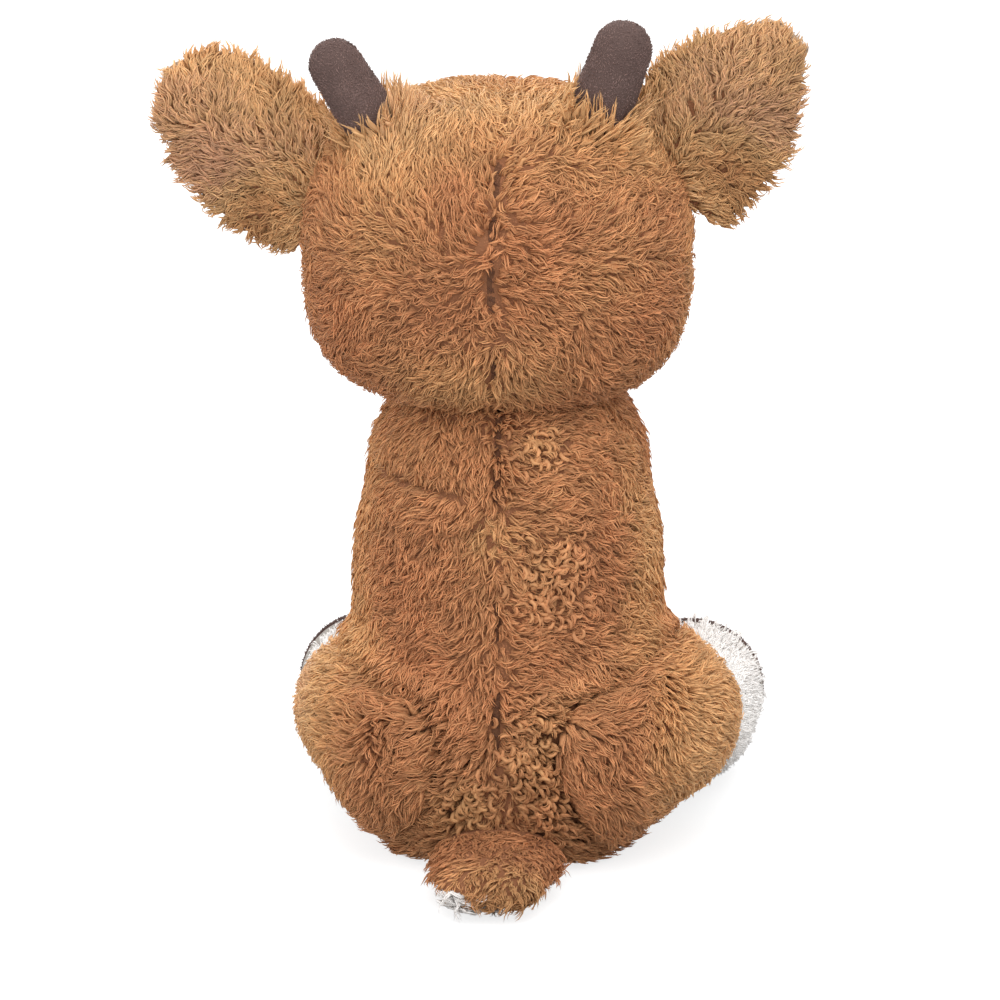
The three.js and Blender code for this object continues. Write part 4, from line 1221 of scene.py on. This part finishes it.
lay = combed(lay, roots, 0.36, 24, 0.16, dice) + dice.normal(size=(count, 3)) * 0.4 * curls[:, None]
lay = across_seam(lay, head_seam(roots), np.interp(roots[:, 2], *HEAD_PARTING), dice)
curl = 0.7 * ripple(roots, 16, 4) + (0.35 + 0.8 * curls) * dice.normal(size=count)
length = LONG * dice.uniform(0.85, 1.12, count) * (1 - 0.55 * fading(eye_gap, 8)) * (1 - 0.2 * curls)
length = length * (1 + 0.5 * by_antler)
by_slot = beside_slot(head_seam(roots), np.interp(roots[:, 2], *HEAD_PARTING))
upright = np.maximum(by_antler, 0.8 * by_slot)
lean = (18 - 12 * upright, 91 - 55 * upright)
lines = tufts(roots, normals, lay, length, lean=lean, curl=curl, wave=0.6, seed=23)
# Painted highlight: more golden over the top and the upper left of the head.
tint = 0.28 + 0.1 * ripple(roots, 36, 7) + 0.3 * spot(roots, (40, 25, 217), 16)
tint += 0.3 * np.clip((roots[:, 2] - 200) / 25, 0, 1) - 0.3 * spot(roots, (14, 40, 210), 7) - 0.15 * curls
shade = 0.52 + 0.14 * ripple(roots, 12, 8) + 0.1 * dice.normal(size=count) - 0.3 * curls
# Painted shade: darker towards the bottom of the head.
shade -= 0.2 * np.clip((168 - roots[:, 2]) / 14, 0, 1)
pile = (roots, normals, lines, tint, shade)
plant("head_pile", pile, brown_fibre, 24, rides("head"), around=HEAD_CENTRE[:2])

# Ear pile: shorter than the head's, fanned out from each ear's base to its rim, duller and darker in the
# middle of the back and golden at the edges.
EAR_SPACING = 1.02
for word, (form, lining, base, outward, upward) in ears.items():
    behind = lambda p, facing: facing[:, 1] > -0.35
    roots, normals, dice, count = rooted(form, EAR_SPACING, 31, behind, (head, 1.0))
    along = (roots - base) @ outward
    across = (roots - base) @ upward
    lay = outward[None] * 0.6 + upward[None] * (across / 16)[:, None]
    lay = combed(lay, roots, 0.34, 18, 0.16, dice)
    curl = 0.7 * ripple(roots, 14, 4) + 0.35 * dice.normal(size=count)
    length = 7.4 * dice.uniform(0.8, 1.1, count) * (0.5 + 0.5 * np.clip(normals[:, 1], 0, 1))
    dark_curls = spot(roots, base + outward * 8 - upward * 11, 11)
    lay = lay + dice.normal(size=(count, 3)) * 0.7 * dark_curls[:, None]
    lines = tufts(roots, normals, lay, length, lean=(46, 97), curl=curl, wave=0.6, seed=33)
    middle = spot(roots, base + outward * 24 - upward * 3, np.array([17, 30, 17]))
    rim = np.clip((np.abs(across) - 15) / 8 + np.clip((along - 40) / 8, 0, 1), 0, 1)
    tint = 0.78 + 0.16 * middle + 0.06 * ripple(roots, 26, 9) - 0.2 * rim - 0.5 * dark_curls
    shade = 0.6 - 0.25 * middle + 0.1 * ripple(roots, 10, 6) + 0.1 * dice.normal(size=count)
    shade = shade - 0.45 * dark_curls - 0.12 * (word == "right")
    pile = (roots, normals, lines, tint, shade)
    looks = ({**UNDER, "thickness": 2.0, "reach": 0.7}, FIBRES)
    plant(f"ear_{word}_pile", pile, brown_fibre, 34, ear_holds[word], looks=looks, around=base[:2])

# Hind leg pile: brown on the haunches, where it spreads from a whorl at the back and lies forward along the
# legs, and white and flatter on the lower legs, as far as the soles.
HAUNCH_WHORLS = {"left": (42, 38, 43.5), "right": (-54, 24, 57)}
for word, (_, form) in hind_legs.items():
    leg = HIND_LEGS[word]
    side = leg["side"]
    furred = lambda p, facing: (p[:, 2] > 1.2) & (p[:, 1] > SOLE_LINE + 1)
    clear_of = [(torso_outer, -3.8), (tail_outer, -1.5)]
    roots, normals, dice, count = rooted(form, SPACING, 41, furred, *clear_of)
    away = roots - np.array(HAUNCH_WHORLS[word])
    far = np.linalg.norm(away, axis=-1)[:, None]
    near = 0.75 * fading(far, 15)
    behind = np.clip((roots[:, 1] + 5) / 30, 0, 1)[:, None]
    outwards = np.array([side * 0.8, -0.2, -0.6]) * behind + np.array([0, -1.0, -0.25]) * (1 - behind)
    lay = unit(away) * near + outwards * (1 - near) + np.array([0.2 * side, 0, -1.2]) * fading(far, 5)
    lay = combed(lay, roots, 0.15 + 0.3 * behind, 20, 0.2, dice) + dice.normal(size=(count, 3)) * 0.3 * near
    roots, normals, lay = over_groove(roots, normals, lay, [torso_outer], 0.0)
    near = near[:, 0]
    curl = 0.6 * ripple(roots, 18, 4) + 0.35 * dice.normal(size=count)
    white = roots[:, 1] < FUR_LINE
    by_sole = np.clip((SOLE_LINE + 9 - roots[:, 1]) / 7, 0, 1)
    standing = leg["fur"] * (1 + 0.2 * by_sole * (word == "right"))
    low = np.clip((30 - roots[:, 2]) / 24, 0, 1)
    length = np.where(white, standing, LONG * (1 - 0.35 * low)) * dice.uniform(0.85, 1.12, count)
    lean = (np.where(white, 10, 18 - 12 * near), np.where(white, 52 + 20 * by_sole, 91 - 40 * near))
    lines = tufts(roots, normals, lay, length, lean=lean, curl=curl, wave=0.5, seed=43)
    # Painted highlight: the outer side of each haunch is lighter and more golden.
    outer_side_highlight = np.clip((np.abs(roots[:, 0]) - 38) / 18, 0, 1)
    tint = 0.26 + 0.07 * ripple(roots, 45, 5) + (0.5 if word == "left" else 0.42) * outer_side_highlight
    shade = 0.46 + 0.13 * ripple(roots, 12, 6) + 0.1 * dice.normal(size=count)
    shade = shade + 0.3 * outer_side_highlight + 0.3 * white
    pile = (roots, normals, lines, tint, shade)
    middle = (side * leg["foot_out"], 0)
    plant(f"hind_leg_{word}_pile", pile, brown_fibre, 44, hip_holds[word], part=~white, around=middle)
    ride = rides(f"hind_leg_{word}")
    plant(f"hind_foot_{word}_pile", pile, white_fibre, 44, ride, part=white, around=middle)

# Tail pile: brown on top, lying back and fanned out to the tip, with the white underside's pile showing at
# the tip's left.
off_floor = lambda p, facing: p[:, 2] > 1.5
roots, normals, dice, count = rooted(tail, SPACING, 51, off_floor, (torso_outer, -1.5))
lay = np.stack([roots[:, 0] / 24, np.ones(count), -0.3 + 0 * roots[:, 0]], -1)
lay = combed(lay, roots, 0.35, 20, 0.18, dice)
white_tip = spot(roots, (9, 79, 4), np.array([4.5, 9, 20]))
under = roots[:, 2] < 4.5 + 7 * white_tip
length = LONG * dice.uniform(0.8, 1.1, count) * (1 + np.where(under, 0.45, -0.4) * white_tip)
curl = 0.8 * ripple(roots, 16, 4)
lines = tufts(roots, normals, lay, length, lean=(38, 96), curl=curl, wave=0.6, seed=53)
tint = 0.16 + 0.08 * ripple(roots, 30, 5) + 0.3 * np.clip((roots[:, 1] - 64) / 14, 0, 1)
shade = 0.06 + 0.8 * white_tip + 0.14 * ripple(roots, 12, 6) + 0.1 * dice.normal(size=count)
pile = (roots, normals, lines, tint, shade)
plant("tail_pile", pile, brown_fibre, 54, tail_hold, part=~under, around=(0, 50))
plant("tail_underside_pile", pile, white_fibre, 54, tail_hold, part=under, around=(0, 50))

# Belly and muzzle pile: white, combed down the belly, and short and swept back from the nose on the muzzle,
# where it leaves the mouth's stitches bare.
MUZZLE_PILE = 5.0
off_mouth = lambda p, facing: mouth_gap(p) > 1.6
clear_of_legs = [(form, -1.5) for form in haunches]
clear_of_face = [(head, 1.0), (nose_outer, 0.4)]
for name, form, body, seed, where, limits in [
    ("belly_pile", torso, "torso", 61, lambda p, facing: on_belly(p), clear_of_legs),
    ("muzzle_pile", muzzle, "head", 71, off_mouth, clear_of_face),
]:
    roots, normals, dice, count = rooted(form, SPACING, seed, where, *limits)
    lay = np.array([0, 0, -1.0]) + 0 * roots
    if body == "head":
        lay = unit(roots - np.array([0, -78, 172])) + np.array([0, 0.6, 0])
    lay = combed(lay, roots, 0.25, 20, 0.17, dice)
    length = (LONG if body == "torso" else MUZZLE_PILE) * dice.uniform(0.85, 1.1, count)
    curl = 0.6 * ripple(roots, 16, 4)
    lines = tufts(roots, normals, lay, length, lean=(25, 91), curl=curl, wave=0.5, seed=seed + 2)
    shade = 0.6 + 0.12 * ripple(roots, 12, 6) + 0.1 * dice.normal(size=count)
    plant(name, (roots, normals, lines, shade, shade), white_fibre, seed + 3, rides(body))

# Front leg pile: a little shorter than the body's and combed down the leg, brown above and white on the
# sock, as far as the seam of the hoof.
for word, form in front_legs.items():
    above_hoof = lambda p, facing: p[:, 2] > HOOF_HEIGHT + 0.5
    roots, normals, dice, count = rooted(form, SPACING, 81, above_hoof, (torso_outer, -1.0))
    lay = combed(np.array([0, 0, -1.0]) + 0 * roots, roots, 0.2, 16, 0.15, dice)
    length = 6.5 * dice.uniform(0.85, 1.1, count)
    curl = 0.6 * ripple(roots, 14, 4)
    lines = tufts(roots, normals, lay, length, lean=(35, 84), curl=curl, wave=0.5, seed=83)
    tint = 0.3 + 0.1 * ripple(roots, 30, 5)
    shade = 0.56 + 0.12 * ripple(roots, 12, 6) + 0.1 * dice.normal(size=count)
    white = roots[:, 2] < SOCK_TOP
    pile = (roots, normals, lines, tint, shade)
    middle = roots.mean(0)[:2]
    hold = shoulder_holds[word]
    plant(f"front_leg_{word}_pile", pile, brown_fibre, 84, hold, part=~white, around=middle)
    ride = rides(f"front_leg_{word}")
    plant(f"front_sock_{word}_pile", pile, white_fibre, 84, ride, part=white, around=middle)

# Short dark pile on the antlers, hooves, soles and nose: dense fleece fibre about a millimetre long, knitted
# into the backing and brushed one way and another.
DARK_TIPS = [colour_of(122, 98, 93), colour_of(146, 120, 113)]
FLEECE_SPACING = 0.68
FLEECE = {"count": 2, "spread": 0.4, "gather": 0.3, "thickness": 0.28, "stray": 0.1, "rings": 2}
dark_fibre = (pile_material("dark_short_pile", DARK_TIPS, 0.8, 0.3, roughness=0.8), "dark_fleece")
short = [("nose_pile", nose_form, rides("head"), lambda p: muzzle_outer.height_over(p) > -2.0)]
above_head = lambda p: head.height_over(p) > 1
on_hoof = lambda p: (p[:, 2] < HOOF_HEIGHT - 0.3) & (p[:, 2] > 0.8)
on_sole = lambda p: (p[:, 1] < SOLE_LINE - 0.2) & (p[:, 2] > 0.8)
for word in ("left", "right"):
    short += [
        (f"antler_{word}_pile", antlers[word][0], antler_holds[word], above_head),
        (f"front_hoof_{word}_pile", front_legs[word], rides(f"front_leg_{word}"), on_hoof),
        (f"hind_sole_{word}_pile", hind_legs[word][1], rides(f"hind_leg_{word}"), on_sole),
    ]
for number, (name, form, hold, keep) in enumerate(short):
    roots, normals = form.scatter(FLEECE_SPACING, 90 + number)
    wanted = keep(roots)
    roots = roots[wanted]
    normals = normals[wanted]
    dice = np.random.default_rng(110 + number)
    count = len(roots)
    lay = combed(np.array([0.2, 0.3, 0.8]) + 0 * roots, roots, 0.8, 12, 0.35, dice)
    length = 1.3 * dice.uniform(0.8, 1.15, count)
    lines = tufts(roots, normals, lay, length, rings=2, lean=(30, 74), seed=number)
    shade = 0.5 + 0.18 * ripple(roots, 6, 6) + 0.08 * dice.normal(size=count)
    pile = (roots, normals, lines, shade, shade)
    plant(name, pile, dark_fibre, number, hold, looks=[FLEECE], around=roots.mean(0)[:2])

# Short pale pile on the ears' linings: soft velour fibre two or three millimetres long, brushed outwards from
# each ear's base.
LINING_TIPS = [colour_of(214, 184, 158), colour_of(238, 214, 190)]
LINING_SPACING = 0.95
VELOUR = {"count": 3, "spread": 0.5, "gather": 0.5, "thickness": 0.36, "stray": 0.2}
lining_fibre = (pile_material("lining_pile", LINING_TIPS, 0.8, 0.2, roughness=0.7), "ear_lining_cloth")
for word, (form, lining, base, outward, upward) in ears.items():
    in_front = lambda p, facing: facing[:, 1] < 0.1
    roots, normals, dice, count = rooted(lining, LINING_SPACING, 121, in_front, (head, 0.5))
    lay = combed(outward + 0 * roots, roots, 0.35, 14, 0.25, dice)
    length = 2.6 * dice.uniform(0.8, 1.15, count)
    curl = 0.5 * ripple(roots, 9, 4)
    lines = tufts(roots, normals, lay, length, rings=3, lean=(20, 70), curl=curl, seed=7)
    shade = 0.5 + 0.15 * ripple(roots, 8, 6) + 0.1 * dice.normal(size=count)
    pile = (roots, normals, lines, shade, shade)
    plant(f"ear_{word}_lining_pile", pile, lining_fibre, 9, ear_holds[word], looks=[VELOUR], around=base[:2])

# Studio: a pale matt floor that keeps the toy's soft shadow, even white all round, and three large soft
# lamps: one high behind the toy, one low at its side and one in front.
FLOOR_REACH = 8000


def seen_plainly(wiring):
    """1 for what the camera or a gloss sees, else 0."""
    ray = wiring.add("LightPath", {}).outputs
    either = wiring.add("Math", {0: ray["Is Camera Ray"], 1: ray["Is Glossy Ray"]}, "ADD")
    either.use_clamp = True
    return either.outputs[0]


floor_corners = FLOOR_REACH * np.array([(-1, -1, 0), (1, -1, 0), (1, 1, 0), (-1, 1, 0)])
floor = new_piece("floor", floor_corners, [(0, 1, 2, 3)], smooth=False)
floor_paint = bpy.data.materials.new("floor_paint")
wiring = Wiring(floor_paint)
wiring.paint({
    "Base Color": (0.42, 0.42, 0.42, 1),
    "Roughness": 1,
    "Specular IOR Level": 0,
    "Emission Color": (1, 1, 1, 1),
    "Emission Strength": wiring.worked("MULTIPLY", seen_plainly(wiring), 0.76),
})
floor.data.materials.append(floor_paint)
world = bpy.data.worlds.new("studio")
bpy.context.scene.world = world
wiring = Wiring(world)
glow = wiring.add("MapRange", {"To Min": 0.98, "To Max": 1.0, "Value": seen_plainly(wiring)})
sky = wiring.tree.nodes["Background"]
wiring.feed(sky, {"Color": (1, 1, 1, 1), "Strength": glow.outputs["Result"]})
for name, place, size, power in [
    ("key_lamp", (-0.25, 0.7, 1.2), 1.2, 10),
    ("fill_lamp", (0.7, 1.2, 0.4), 1.2, 5),
    ("front_lamp", (0.3, -1.3, 0.8), 1.4, 13),
]:
    lamp_data = bpy.data.lights.new(name, "AREA")
    lamp_data.size = size
    lamp_data.energy = power
    lamp = placed(name, lamp_data)
    lamp.location = place
    aim = -np.array(place) + np.array([0, 0, 0.12])
    tilt = math.atan2(math.hypot(aim[0], aim[1]), -aim[2])
    lamp.rotation_euler = (tilt, 0, math.atan2(aim[1], aim[0]) - math.pi / 2)

# Camera: behind the toy and a little above it, far off with a long lens, as the photograph was taken. The
# toy's own origin falls on the same place in the picture as in the photograph.
AZIMUTH = 184
ELEVATION = 18
PIXEL = 0.3  # millimetres to a pixel at the toy
ORIGIN_PIXEL = (508, 834)
DISTANCE = 6000
PICTURE = 1000
SENSOR = 36
azimuth = math.radians(AZIMUTH)
elevation = math.radians(ELEVATION)
flat = math.cos(elevation)
towards = np.array([math.sin(azimuth) * flat, -math.cos(azimuth) * flat, math.sin(elevation)])
right = np.array([math.cos(azimuth), math.sin(azimuth), 0])
upright = np.cross(towards, right)
down = upright * (ORIGIN_PIXEL[1] - PICTURE / 2) * PIXEL
target = down - right * (ORIGIN_PIXEL[0] - PICTURE / 2) * PIXEL
camera_data = bpy.data.cameras.new("camera")
camera_data.sensor_width = SENSOR
camera_data.lens = SENSOR * DISTANCE / (PICTURE * PIXEL)
camera = placed("camera", camera_data)
camera.location = (target + towards * DISTANCE) * MM
camera.rotation_euler = (math.pi / 2 - elevation, 0, azimuth)
bpy.context.scene.camera = camera
bpy.context.scene.view_settings.view_transform = "Standard"
